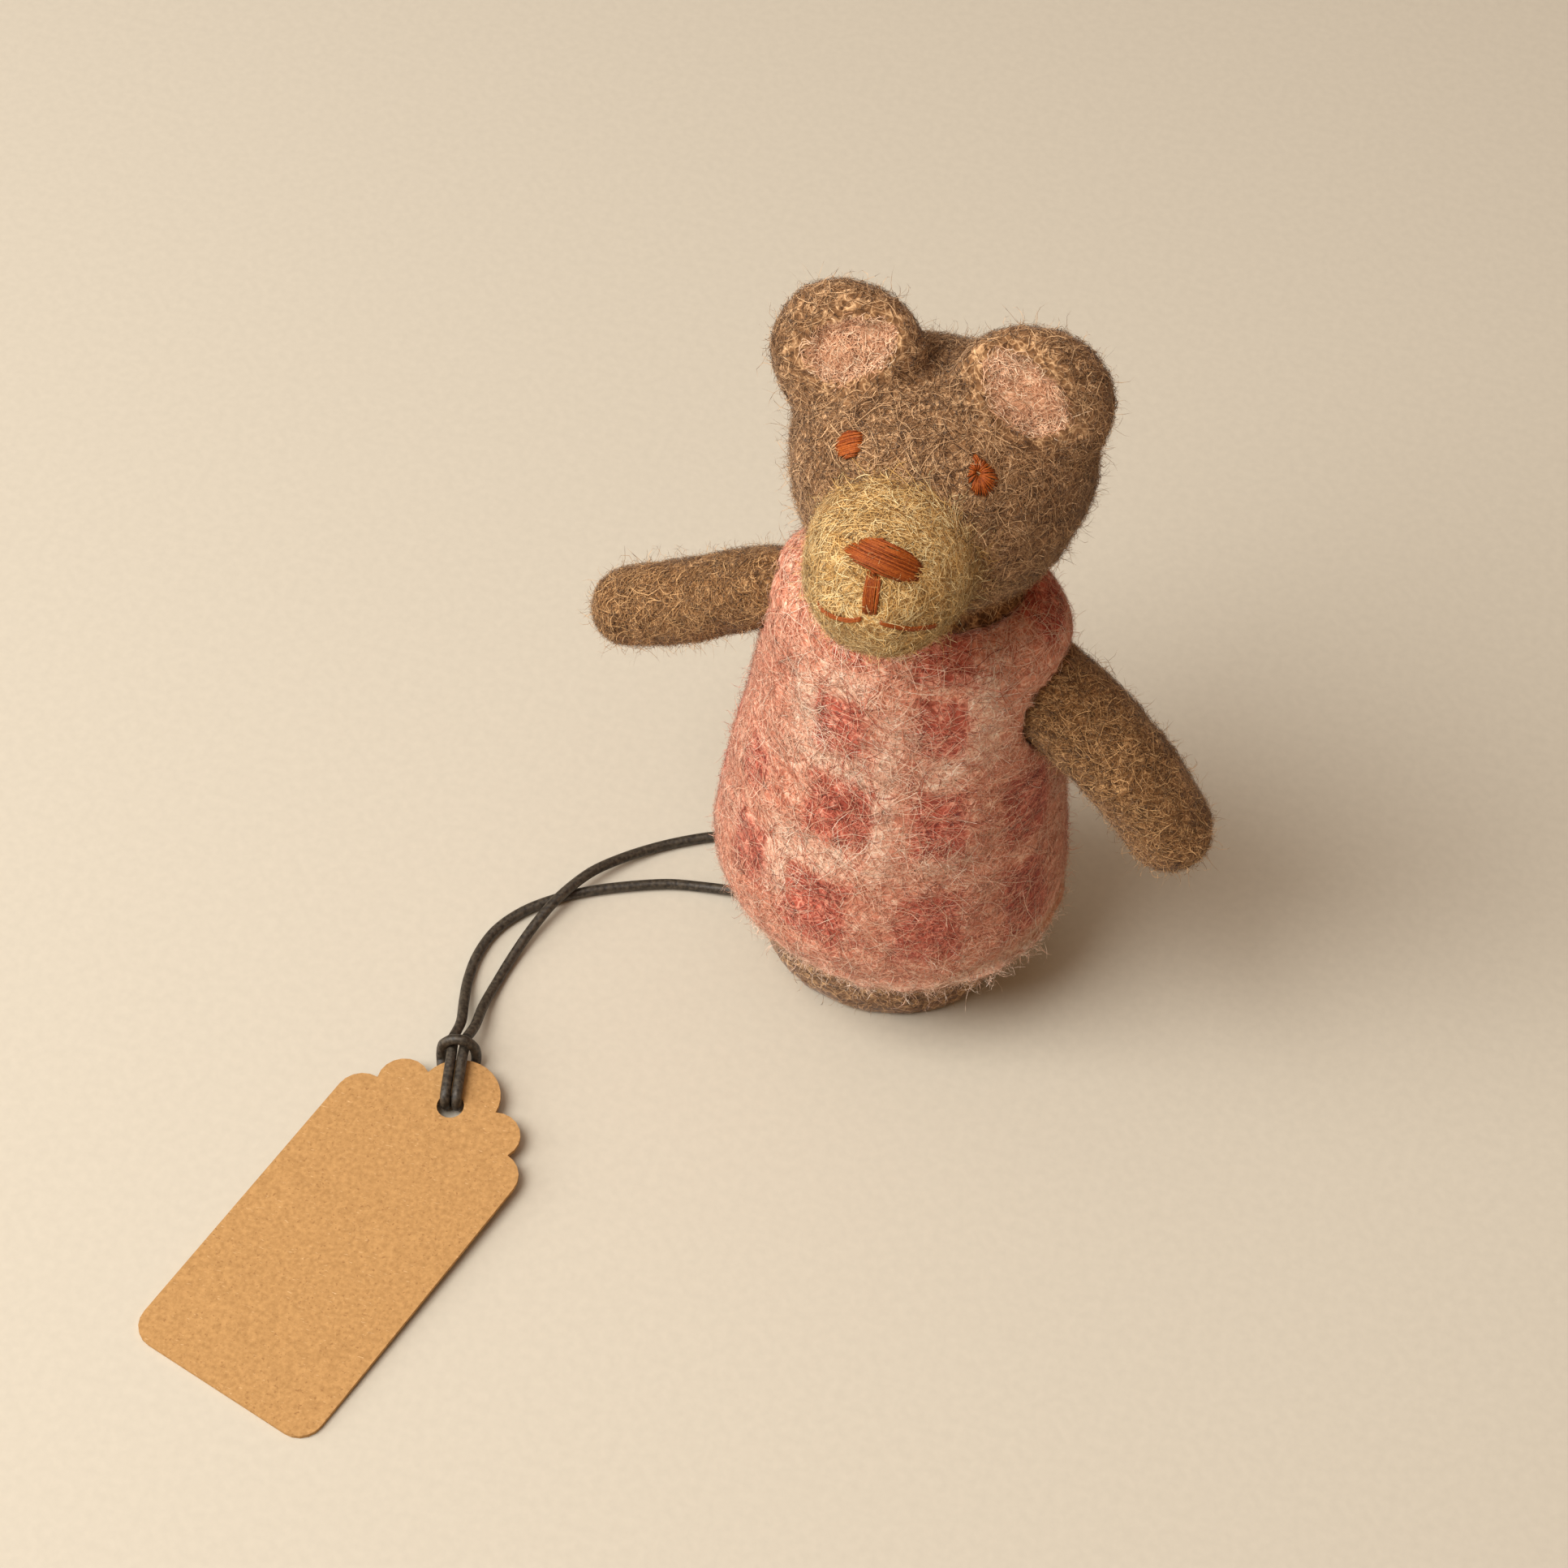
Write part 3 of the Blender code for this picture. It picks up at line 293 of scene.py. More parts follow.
def new_material(name):
    """A new material, its node tree, its shader and the piece's own coordinates."""
    material = bpy.data.materials.new(name)
    material.use_nodes = True
    tree = material.node_tree
    place = tree.nodes.new("ShaderNodeTexCoord").outputs["Object"]
    return material, tree, tree.nodes["Principled BSDF"], place


def set_surface(tree, shader, colour, roughness, specular, bump=None):
    """Colour and gloss of a shader; bump gives a height socket, a strength and a distance."""
    tree.links.new(colour, shader.inputs["Base Color"])
    shader.inputs["Roughness"].default_value = roughness
    shader.inputs["Specular IOR Level"].default_value = specular
    if bump is not None:
        height, strength, distance = bump
        node = tree.nodes.new("ShaderNodeBump")
        node.inputs["Strength"].default_value = strength
        node.inputs["Distance"].default_value = distance
        tree.links.new(height, node.inputs["Height"])
        tree.links.new(node.outputs["Normal"], shader.inputs["Normal"])


def add_ramp(tree, factor, stops, colours=(BLACK, WHITE)):
    """A ramp fed by a socket, with a colour at each stop."""
    ramp = tree.nodes.new("ShaderNodeValToRGB")
    elements = ramp.color_ramp.elements
    while len(elements) < len(stops):
        elements.new(0.5)
    for element, stop, colour in zip(elements, stops, colours):
        element.position = stop
        element.color = (*colour, 1.0)
    tree.links.new(factor, ramp.inputs["Fac"])
    return ramp.outputs["Color"]


def add_mix(tree, factor, first, second, blend="MIX"):
    """Mix two colours by a factor socket or number."""
    mix = tree.nodes.new("ShaderNodeMix")
    mix.data_type = "RGBA"
    mix.blend_type = blend
    if isinstance(factor, (int, float)):
        mix.inputs[0].default_value = factor
    else:
        tree.links.new(factor, mix.inputs[0])
    for socket, value in ((mix.inputs[6], first), (mix.inputs[7], second)):
        if isinstance(value, tuple):
            socket.default_value = (*value, 1.0)
        else:
            tree.links.new(value, socket)
    return mix.outputs[2]


def add_noise(tree, coordinates, scale, detail, stretch=None):
    """Noise over the piece's own coordinates, stretched where asked."""
    if stretch is not None:
        mapping = tree.nodes.new("ShaderNodeMapping")
        mapping.inputs["Scale"].default_value = stretch
        tree.links.new(coordinates, mapping.inputs["Vector"])
        coordinates = mapping.outputs["Vector"]
    texture = tree.nodes.new("ShaderNodeTexNoise")
    texture.inputs["Scale"].default_value = scale
    texture.inputs["Detail"].default_value = detail
    tree.links.new(coordinates, texture.inputs["Vector"])
    return texture.outputs["Fac"]


def add_strands(tree, coordinates, scale, seed, width):
    """Thin curly lines, as of fibres lying over each other: the level lines of a noise field."""
    mapping = tree.nodes.new("ShaderNodeMapping")
    mapping.inputs["Location"].default_value = (seed * 0.013, seed * 0.007, seed * 0.011)
    tree.links.new(coordinates, mapping.inputs["Vector"])
    value = add_noise(tree, mapping.outputs["Vector"], scale, 1.5)
    for operation in ("SUBTRACT", "ABSOLUTE"):
        step = tree.nodes.new("ShaderNodeMath")
        step.operation = operation
        step.inputs[1].default_value = 0.5
        tree.links.new(value, step.inputs[0])
        value = step.outputs[0]
    return add_ramp(tree, value, (0.0, width), (WHITE, BLACK))


def add_attribute(tree, name):
    """A number stored on the mesh."""
    node = tree.nodes.new("ShaderNodeAttribute")
    node.attribute_name = name
    return node.outputs["Fac"]


def add_wool(tree, factor, stops, zones):
    """Wool colours along a factor; the palettes of later zones go over the first by numbers on the mesh."""
    colour = None
    for palette, attribute in zones:
        shade = add_ramp(tree, factor, stops, palette)
        colour = shade if colour is None else add_mix(tree, add_attribute(tree, attribute), colour, shade)
    return colour


def wool_base_material(name, zones):
    """The felt below the fibres: heathered, with fine curly lines."""
    material, tree, shader, place = new_material(name)
    fine = add_noise(tree, place, FELT_FINE, 4.0)
    cross = add_noise(tree, place, FELT_CROSS, 3.0, (1.0, 1.0, 3.0))
    heather = add_mix(tree, 0.45, fine, cross)
    for seed, scale, width in FELT_STRANDS:
        strands = add_strands(tree, place, scale, seed, width)
        heather = add_mix(tree, 0.30, heather, strands, "ADD")
    colour = add_wool(tree, heather, FELT_STOPS, zones)
    set_surface(tree, shader, colour, roughness=0.95, specular=0.15, bump=(heather, 0.6, 0.12 * MM))
    shader.inputs["Sheen Weight"].default_value = 0.25
    shader.inputs["Sheen Roughness"].default_value = 0.5
    return material


def fibre_material(name, zones):
    """Single fibres: each has its own shade, and some patches are a little darker."""
    material, tree, shader, place = new_material(name)
    colour = add_wool(tree, add_attribute(tree, "tint"), FIBRE_STOPS, zones)
    patch = add_noise(tree, place, FIBRE_PATCHES, 2.0)
    shade = add_ramp(tree, patch, (0.3, 0.7), (PATCH_SHADE, WHITE))
    colour = add_mix(tree, 1.0, colour, shade, "MULTIPLY")
    set_surface(tree, shader, colour, roughness=0.7, specular=0.25)
    shader.inputs["Sheen Weight"].default_value = 0.1
    return material


def thread_material():
    """Rust embroidery thread with a fine twist."""
    material, tree, shader, place = new_material("embroidery_thread")
    grain = add_noise(tree, place, THREAD_TWIST, 2.0)
    mixed = add_mix(tree, 0.5, grain, add_attribute(tree, "tint"))
    colour = add_ramp(tree, mixed, (0.25, 0.5, 0.8), RUST)
    set_surface(tree, shader, colour, roughness=0.6, specular=0.25, bump=(grain, 0.5, 0.05 * MM))
    return material


def card_material():
    """Kraft card: warm brown with fine pale and dark flecks."""
    material, tree, shader, place = new_material("kraft_card_speckled")
    mottle = add_noise(tree, place, CARD_MOTTLE, 6.0)
    base = add_ramp(tree, mottle, (0.3, 0.7), CARD_COLOURS)
    fleck = add_noise(tree, place, CARD_FLECKS, 2.0)
    dark = add_ramp(tree, fleck, (0.62, 0.72))
    colour = add_mix(tree, dark, base, CARD_DARK_FLECK)
    strand = add_noise(tree, place, CARD_STRANDS, 2.0, (1.0, 4.0, 1.0))
    pale = add_ramp(tree, strand, (0.66, 0.80))
    colour = add_mix(tree, pale, colour, CARD_PALE_FLECK)
    set_surface(tree, shader, colour, roughness=0.85, specular=0.2, bump=(fleck, 0.25, 0.05 * MM))
    return material


def cord_material():
    """Waxed cord: dark, with a fine braid and a dull shine."""
    material, tree, shader, place = new_material("waxed_cord_braid")
    braid = add_noise(tree, place, CORD_BRAID, 2.0)
    colour = add_ramp(tree, braid, (0.35, 0.7), CORD_COLOURS)
    set_surface(tree, shader, colour, roughness=0.5, specular=0.5, bump=(braid, 0.6, 0.08 * MM))
    return material


# Soft forms


def node_shape(node, growth=0.0):
    """A model node's mesh as a bmesh with its corners merged, grown along its normals."""
    shape = bmesh.new()
    shape.from_mesh(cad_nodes[node].data)
    bmesh.ops.remove_doubles(shape, verts=shape.verts, dist=0.001 * MM)
    shape.normal_update()
    if growth:
        for vertex in shape.verts:
            vertex.co += vertex.normal * growth
    return shape


def node_tree(node):
    """A search tree of a model node's surface."""
    shape = node_shape(node)
    tree = BVHTree.FromBMesh(shape)
    shape.free()
    return tree


def new_piece(name, mesh, material):
    """Link a mesh as a piece with its material."""
    piece = link_object(name, mesh)
    mesh.materials.clear()
    mesh.materials.append(material)
    return piece


def declare(pieces):
    """All of the pieces ride on the one body."""
    for piece in pieces:
        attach(piece, "root")


def soft_form(name, parts, voxel, rounds):
    """One closed soft mesh over several model nodes: joined, remeshed and smoothed."""
    mesh = bpy.data.meshes.new(name)
    joined = bmesh.new()
    for node, growth in parts:
        part = bpy.data.meshes.new("part")
        shape = node_shape(node, growth)
        shape.to_mesh(part)
        shape.free()
        joined.from_mesh(part)
        bpy.data.meshes.remove(part)
    joined.to_mesh(mesh)
    joined.free()
    piece = link_object(name, mesh)
    remesh = piece.modifiers.new("Remesh", "REMESH")
    remesh.mode = "VOXEL"
    remesh.voxel_size = voxel
    smooth = piece.modifiers.new("Smooth", "SMOOTH")
    smooth.factor = 0.5
    smooth.iterations = rounds
    graph = bpy.context.evaluated_depsgraph_get()
    result = bpy.data.meshes.new_from_object(piece.evaluated_get(graph))
    bpy.data.objects.remove(piece)
    result.name = name
    result.shade_smooth()
    return result


def vertex_array(mesh, field="co"):
    """A mesh's vertex positions or normals as an array."""
    values = np.zeros(len(mesh.vertices) * 3)
    mesh.vertices.foreach_get(field, values)
    return values.reshape(-1, 3)


def set_vertices(mesh, places):
    """Write vertex positions back."""
    mesh.vertices.foreach_set("co", places.ravel())
    mesh.update()


def noise_over(places, size, seed):
    """Smooth noise from -1 to 1 at each place."""
    shift = Vector((seed * 7.31, seed * 3.17, seed * 5.77))
    return np.array([noise.noise(Vector(place) / size + shift) for place in places])


def roughen(mesh, seed):
    """Hand-felted lumps and a finer grain."""
    places = vertex_array(mesh)
    normals = vertex_array(mesh, "normal")
    lumps = noise_over(places, LUMP_SIZE, seed) * LUMP_DEPTH
    grain = noise_over(places, GRAIN_SIZE, seed + 5) * GRAIN_DEPTH
    set_vertices(mesh, places + normals * (lumps + grain)[:, None])


def set_number(mesh, name, values):
    """Store one number for each vertex."""
    attribute = mesh.attributes.get(name) or mesh.attributes.new(name, "FLOAT", "POINT")
    attribute.data.foreach_set("value", np.asarray(values, dtype=np.float32))


def distances(tree, places):
    """Distance from each place to a surface."""
    return np.array([tree.find_nearest(Vector(place))[3] for place in places])


def ramp_up(values, low, high):
    """Smooth step from 0 at low to 1 at high."""
    share = np.clip((values - low) / (high - low), 0.0, 1.0)
    return share * share * (3 - 2 * share)


# Fibres


def sample_surface(mesh, count, rng, weights=None):
    """Random places on a mesh with their normals, spread by area and by a weight for each face."""
    mesh.calc_loop_triangles()
    corners = np.zeros(len(mesh.loop_triangles) * 3, dtype=np.int64)
    mesh.loop_triangles.foreach_get("vertices", corners)
    corners = corners.reshape(-1, 3)
    places = vertex_array(mesh)
    normals = vertex_array(mesh, "normal")
    first, second, third = (places[corners[:, index]] for index in range(3))
    areas = np.linalg.norm(np.cross(second - first, third - first), axis=1) / 2
    if weights is not None:
        areas = areas * weights[corners].mean(axis=1)
    chance = np.cumsum(areas) / areas.sum()
    picked = np.searchsorted(chance, rng.random(count))
    picked = np.minimum(picked, len(corners) - 1)
    one, two = rng.random(count), rng.random(count)
    over = one + two > 1
    one[over], two[over] = 1 - one[over], 1 - two[over]
    shares = np.stack([1 - one - two, one, two], axis=1)
    trio = corners[picked]
    spots = (places[trio] * shares[:, :, None]).sum(axis=1)
    facing = (normals[trio] * shares[:, :, None]).sum(axis=1)
    return spots, unit(facing), trio, shares


def unit(vectors):
    """Vectors scaled to length one."""
    return vectors / np.maximum(np.linalg.norm(vectors, axis=-1, keepdims=True), 1e-12)


def across_normal(vectors, normals):
    """The part of each vector that lies in the surface, at length one."""
    return unit(vectors - normals * (vectors * normals).sum(axis=-1, keepdims=True))


def turned(headings, normals, angles):
    """Headings turned about the normals."""
    cos, sin = np.cos(angles)[:, None], np.sin(angles)[:, None]
    return headings * cos + np.cross(normals, headings) * sin


def lay_fibres(mesh, roots, normals, headings, lengths, curls, lifts, steps, rng):
    """Centre lines of fibres that follow the surface and rise off it in the middle."""
    tree = mesh_tree(mesh)
    place, facing, heading = roots.copy(), normals.copy(), across_normal(headings, normals)
    lines, ups = [], []
    step_length = (lengths / steps)[:, None]
    for step in range(steps + 1):
        share = step / steps
        rise = lifts * math.sin(math.pi * (0.1 + 0.8 * share)) - TUCK
        lines.append(place + facing * rise[:, None])
        ups.append(facing)
        place = place + heading * step_length
        found = [tree.find_nearest(Vector(spot)) for spot in place]
        place = np.array([hit[0] for hit in found])
        facing = unit(np.array([hit[1] for hit in found]) * 0.5 + facing * 0.5)
        wobble = curls / steps + rng.normal(0.0, 0.22, len(roots))
        heading = turned(across_normal(heading, facing), facing, wobble)
    return np.stack(lines, axis=1), np.stack(ups, axis=1)


def mesh_tree(mesh):
    """A search tree of a mesh."""
    places = [Vector(place) for place in vertex_array(mesh)]
    return BVHTree.FromPolygons(places, [tuple(face.vertices) for face in mesh.polygons])


def free_fibres(roots, normals, lengths, curls, lean, steps, rng):
    """Centre lines of loose fibres that stand off the surface and curl in the air."""
    side = across_normal(rng.normal(size=roots.shape), normals)
    heading = unit(normals * (1 - lean)[:, None] + side * lean[:, None])
    swing = unit(np.cross(normals, side) + rng.normal(0.0, 0.5, roots.shape))
    place = roots - normals * LOOSE_TUCK
    lines, ups = [], []
    step_length = (lengths / steps)[:, None]
    for _ in range(steps + 1):
        lines.append(place)
        ups.append(swing)
        place = place + heading * step_length
        heading = unit(turned(heading, swing, curls / steps) + rng.normal(0.0, 0.12, roots.shape))
    return np.stack(lines, axis=1), np.stack(ups, axis=1)


def ribbon_mesh(name, lines, ups, widths, numbers):
    """Thin ribbons, pointed at both ends, each with its own patch of the bake map and its own numbers."""
    count, rows = lines.shape[:2]
    along = np.gradient(lines, axis=1)
    side = unit(np.cross(along, ups))
    taper = np.sin(np.pi * (0.12 + 0.76 * np.arange(rows) / (rows - 1)))
    half = (widths[:, None] * taper[None, :])[:, :, None] / 2
    pairs = np.stack([lines - side * half, lines + side * half], axis=2)[:, 1:-1].reshape(count, -1, 3)
    places = np.concatenate([lines[:, :1], pairs, lines[:, -1:]], axis=1)
    places[:, :, 2] = np.maximum(places[:, :, 2], 0.0)
    each = places.shape[1]
    strips = [[0, 1, 2]]
    strips += [[corner, corner + 1, corner + 3, corner + 2] for corner in range(1, each - 3, 2)]
    strips += [[each - 3, each - 1, each - 2]]
    pattern = np.array([corner for strip in strips for corner in strip])
    sizes = np.tile(np.array([len(strip) for strip in strips]), count)
    corners = ((np.arange(count) * each)[:, None] + pattern[None, :]).ravel()
    mesh = bpy.data.meshes.new(name)
    mesh.vertices.add(count * each)
    mesh.vertices.foreach_set("co", places.ravel())
    mesh.loops.add(len(corners))
    mesh.loops.foreach_set("vertex_index", corners.astype(np.int32))
    mesh.polygons.add(len(sizes))
    mesh.polygons.foreach_set("loop_start", (np.cumsum(sizes) - sizes).astype(np.int32))
    mesh.update(calc_edges=True)
    mesh.validate()
    mesh.shade_smooth()
    cells = math.ceil(math.sqrt(count))
    across = np.concatenate([[0.5], np.tile([0.15, 0.85], rows - 2), [0.5]])
    upward = np.concatenate([[0.1], np.repeat(0.1 + 0.8 * np.arange(1, rows - 1) / (rows - 1), 2), [0.9]])
    column = (np.arange(count) % cells)[:, None] + across[None, :]
    line = (np.arange(count) // cells)[:, None] + upward[None, :]
    spots = np.stack([column, line], axis=-1).reshape(-1, 2) / cells
    chart = mesh.uv_layers.new(name="OFBake")
    chart.data.foreach_set("uv", spots[corners].ravel())
    for key, values in numbers.items():
        set_number(mesh, key, np.repeat(values, each))
    return mesh


def zone_numbers(mesh, zones, trio, shares, rng):
    """Zone numbers of fibres: each is wholly in a zone or out of it, and a few stray over the edge."""
    numbers = {}
    for zone in zones:
        values = np.zeros(len(mesh.vertices), dtype=np.float32)
        mesh.attributes[zone].data.foreach_get("value", values)
        share = (values[trio] * shares).sum(axis=1)
        numbers[zone] = (share + rng.normal(0.0, ZONE_STRAY, len(share)) > 0.5).astype(float)
    return numbers


def fibre_piece(name, lines, ups, widths, numbers, keep, material):
    """One piece of the fibres that are kept, or of all of them."""
    if keep is not None:
        lines, ups, widths = lines[keep], ups[keep], widths[keep]
        numbers = {key: values[keep] for key, values in numbers.items()}
    return new_piece(name, ribbon_mesh(name, lines, ups, widths, numbers), material)


def fibre_lengths(rng, count, length, spread, longest):
    """Random lengths round a usual one, up to so many times as long."""
    return np.clip(rng.lognormal(math.log(length), spread, count), length * SHORTEST, length * longest)


def cover(name, mesh, material, zones, heading, spread, weights=None,
          width=FIBRE_WIDTH, curl=2.0, clear=None):
    """Fibres matted over a soft form; clear tells which places stay clear of them."""
    count, seed, length, lift = FIBRES[name]
    rng = np.random.default_rng(seed)
    roots, normals, trio, shares = sample_surface(mesh, count, rng, weights)
    headings = heading(roots, normals, rng) if heading else rng.normal(size=roots.shape)
    headings = turned(across_normal(headings, normals), normals, rng.normal(0.0, spread, count))
    lengths = fibre_lengths(rng, count, length, 0.4, 2.4)
    curls = rng.normal(0.0, curl, count)
    lifts = np.abs(rng.normal(lift, lift * 0.8, count))
    lines, ups = lay_fibres(mesh, roots, normals, headings, lengths, curls, lifts, FIBRE_STEPS, rng)
    numbers = zone_numbers(mesh, zones, trio, shares, rng)
    locks = noise_over(roots, SMALL_LOCK, seed) + noise_over(roots, LARGE_LOCK, seed + 7)
    numbers["tint"] = np.clip(rng.beta(1.3, 1.4, count) + LOCK_SHARE * locks, 0.0, 1.0)
    widths = width * rng.uniform(THINNEST, THICKEST, count)
    keep = ~clear(lines[:, 1:].reshape(-1, 3)).reshape(count, -1).any(axis=1) if clear else None
    return fibre_piece(name, lines, ups, widths, numbers, keep, material)


def fuzz(name, mesh, material, zones, weights=None, longest=3.0, clear=None):
    """Loose fibres that stand off a soft form; longest is a multiple of their usual length."""
    count, seed, length = LOOSE_FIBRES[name]
    rng = np.random.default_rng(seed)
    roots, normals, trio, shares = sample_surface(mesh, count, rng, weights)
    lengths = fibre_lengths(rng, count, length, 0.55, longest)
    curls = rng.normal(0.0, 2.8, count)
    lean = rng.uniform(0.45, 0.97, count)
    lines, ups = free_fibres(roots, normals, lengths, curls, lean, FUZZ_STEPS, rng)
    numbers = zone_numbers(mesh, zones, trio, shares, rng)
    numbers["tint"] = rng.uniform(0.35, 1.0, count)
    widths = FUZZ_WIDTH * rng.uniform(THINNEST, THICKEST, count)
    return fibre_piece(name, lines, ups, widths, numbers, ~clear(roots) if clear else None, material)


# Head


def lining_distance(places):
    """Distance from each place to the nearer of the two ear linings."""
    left, right = (distances(node_tree("ear_lining_" + side), places) for side in ("left", "right"))
    return np.minimum(left, right)


def muzzle_heading(roots, normals, rng):
    """Fibres go round the muzzle on the muzzle, any way elsewhere."""
    low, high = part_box("muzzle")
    out = roots - np.array(Vector(low + high) / 2)
    around = np.cross(np.array(MUZZLE_AXIS), out)
    near = np.linalg.norm(out, axis=1) < MUZZLE_SWIRL_RADIUS
    return np.where(near[:, None], around, rng.normal(size=roots.shape))


def build_head():
    """Skull, ears and muzzle as one felted mass, with tan and pink wool in their places."""
    mesh = soft_form("felt_head", *HEAD_FORM)
    roughen(mesh, 1)
    places = vertex_array(mesh)
    normals = vertex_array(mesh, "normal")
    to_muzzle = distances(node_tree("muzzle"), places)
    to_skull = distances(node_tree("head"), places)
    wander = noise_over(places, MUZZLE_WANDER_SIZE, 9) * MUZZLE_WANDER
    muzzle = ramp_up(to_skull - to_muzzle + wander, *MUZZLE_BLEND)
    near = lining_distance(places)
    front = ramp_up(-normals[:, 1], 0.1, 0.5)
    lining = ramp_up(LINING_REACH - near + wander * 0.2, 0.0, LINING_EDGE) * front
    # A ring round each lining painted darker: painted shade of the recess the lining sits in
    crease_shade = ramp_up(CREASE_SHADE_REACH - near, 0.0, CREASE_SHADE_EDGE) * front
    set_number(mesh, "muzzle_zone", muzzle)
    set_number(mesh, "lining_zone", lining)
    set_number(mesh, "crease_shade_zone", crease_shade * (1 - lining) * CREASE_SHADE_SHARE)
    set_vertices(mesh, places - normals * (lining * LINING_DEPTH)[:, None])
    zones = ((BROWN, ""), (SHADED_BROWN, "crease_shade_zone"), (TAN, "muzzle_zone"), (LINING, "lining_zone"))
    piece = new_piece("felt_head", mesh, wool_base_material("head_felt", zones))
    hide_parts("head", "muzzle", "ear_lining_left", "ear_lining_right")
    strands = fibre_material("head_fibre", zones)
    pink_strands = fibre_material("lining_fibre", ((LINING, ""),))
    names = ("crease_shade_zone", "muzzle_zone", "lining_zone")
    # Brown fibres thin out over the painted shade ring, so its darker felt shows
    brown = np.clip(1 - muzzle, 0.0, 1.0) * (1 - 0.8 * crease_shade)
    tan = ramp_up(muzzle, 0.5, 1.0)
    pieces = [
        piece,
        cover("head_fibres", mesh, strands, names, None, ANY_WAY, brown,
              clear=lambda places: lining_distance(places) < CLEAR_OF_FIBRES),
        cover("muzzle_fibres", mesh, strands, names, muzzle_heading, MUZZLE_SPREAD, tan),
        cover("lining_fibres", mesh, pink_strands, (), None, ANY_WAY, lining,
              clear=lambda places: lining_distance(places) >= LINING_FIBRE_REACH),
        fuzz("head_fuzz", mesh, strands, names,
             clear=lambda places: lining_distance(places) < CLEAR_OF_FUZZ),
        fuzz("head_stray_hairs", mesh, strands, names, longest=1.4),
    ]
    declare(pieces)
    return mesh


# Arms and body


def arm_heading(roots, normals, rng):
    """Fibres wound slantwise round an arm."""
    middle = roots.mean(axis=0)
    _, _, axes = np.linalg.svd(roots - middle, full_matrices=False)
    along = across_normal(np.tile(axes[0], (len(roots), 1)), normals)
    return turned(along, normals, np.full(len(roots), ARM_WIND))


def build_arms():
    """Felted arms."""
    base = wool_base_material("arm_felt", ((WARM_BROWN, ""),))
    strands = fibre_material("arm_fibre", ((WARM_BROWN, ""),))
    for seed, node in ((21, "arm_left"), (31, "arm_right")):
        mesh = soft_form("felt_" + node, ((node, 0.0),), ARM_VOXEL, ARM_ROUNDS)
        roughen(mesh, seed)
        piece = new_piece("felt_" + node, mesh, base)
        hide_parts(node)
        parts = [
            piece,
            cover(node + "_fibres", mesh, strands, (), arm_heading, ARM_SPREAD),
            fuzz(node + "_fuzz", mesh, strands, ()),
        ]
        declare(parts)


def build_body():
    """The hollow body; its rim shows below the hem, in a brown darkened as painted shade under the
    pinafore's overhang.
    """
    mesh = soft_form("felt_body", *BODY_FORM)
    # The body's felt and fibres take the brown darkened as painted shade
    base = wool_base_material("body_felt", ((SHADED_BROWN, ""),))
    strands = fibre_material("body_fibre", ((SHADED_BROWN, ""),))
    places = vertex_array(mesh)
    low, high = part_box("dress")
    shown = ramp_up(low.z + RIM_REACH - places[:, 2], 0.0, REACH_EDGE)
    shown = np.maximum(shown, ramp_up(places[:, 2] - high.z + NECK_REACH, 0.0, REACH_EDGE))
    normals = vertex_array(mesh, "normal")
    depth = GRAIN_DEPTH * np.clip(places[:, 2] / GRAIN_FROM, 0.0, 1.0)
    places = places + normals * (noise_over(places, GRAIN_SIZE, 43) * depth)[:, None]
    places[:, 2] = np.maximum(places[:, 2], 0.0)
    set_vertices(mesh, places)
    piece = new_piece("felt_body", mesh, base)
    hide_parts("body")
    lifted = shown * ramp_up(places[:, 2], *PLAIN_FOOT)
    parts = [
        piece,
        cover("body_fibres", mesh, strands, (), None, ANY_WAY, lifted),
        fuzz("body_fuzz", mesh, strands, (), lifted),
    ]
    declare(parts)


# Pinafore


def patch_share(places, patches, edge):
    """How far each place of the pinafore lies inside one of the patches."""
    left, back = places[:, 0] - AXIS.x, places[:, 1] - AXIS.y
    angles = np.degrees(np.arctan2(left, -back))
    out = np.hypot(left, back)
    across = noise_over(places, PATCH_WANDER_SIZE, 51) * PATCH_WANDER
    upward = noise_over(places, PATCH_WANDER_SIZE, 57) * PATCH_WANDER
    share = np.zeros(len(places))
    for angle, height, half_angle, half_height in patches:
        turn = (angles - angle + 180) % 360 - 180
        sideways = half_angle / 180 * np.pi * out - np.abs(turn / 180 * np.pi * out + across)
        rise = half_height * MM - np.abs(places[:, 2] - height * MM + upward)
        share = np.maximum(share, ramp_up(np.minimum(sideways, rise), -edge / 2, edge / 2))
    return share


def dress_heading(roots, normals, rng):
    """Fibres run mostly up and down or across, as the check was laid."""
    upward = np.tile(np.array((0.0, 0.0, 1.0)), (len(roots), 1))
    across = np.cross(upward, normals)
    level = rng.random(len(roots)) < 0.5
    return np.where(level[:, None], across, upward)


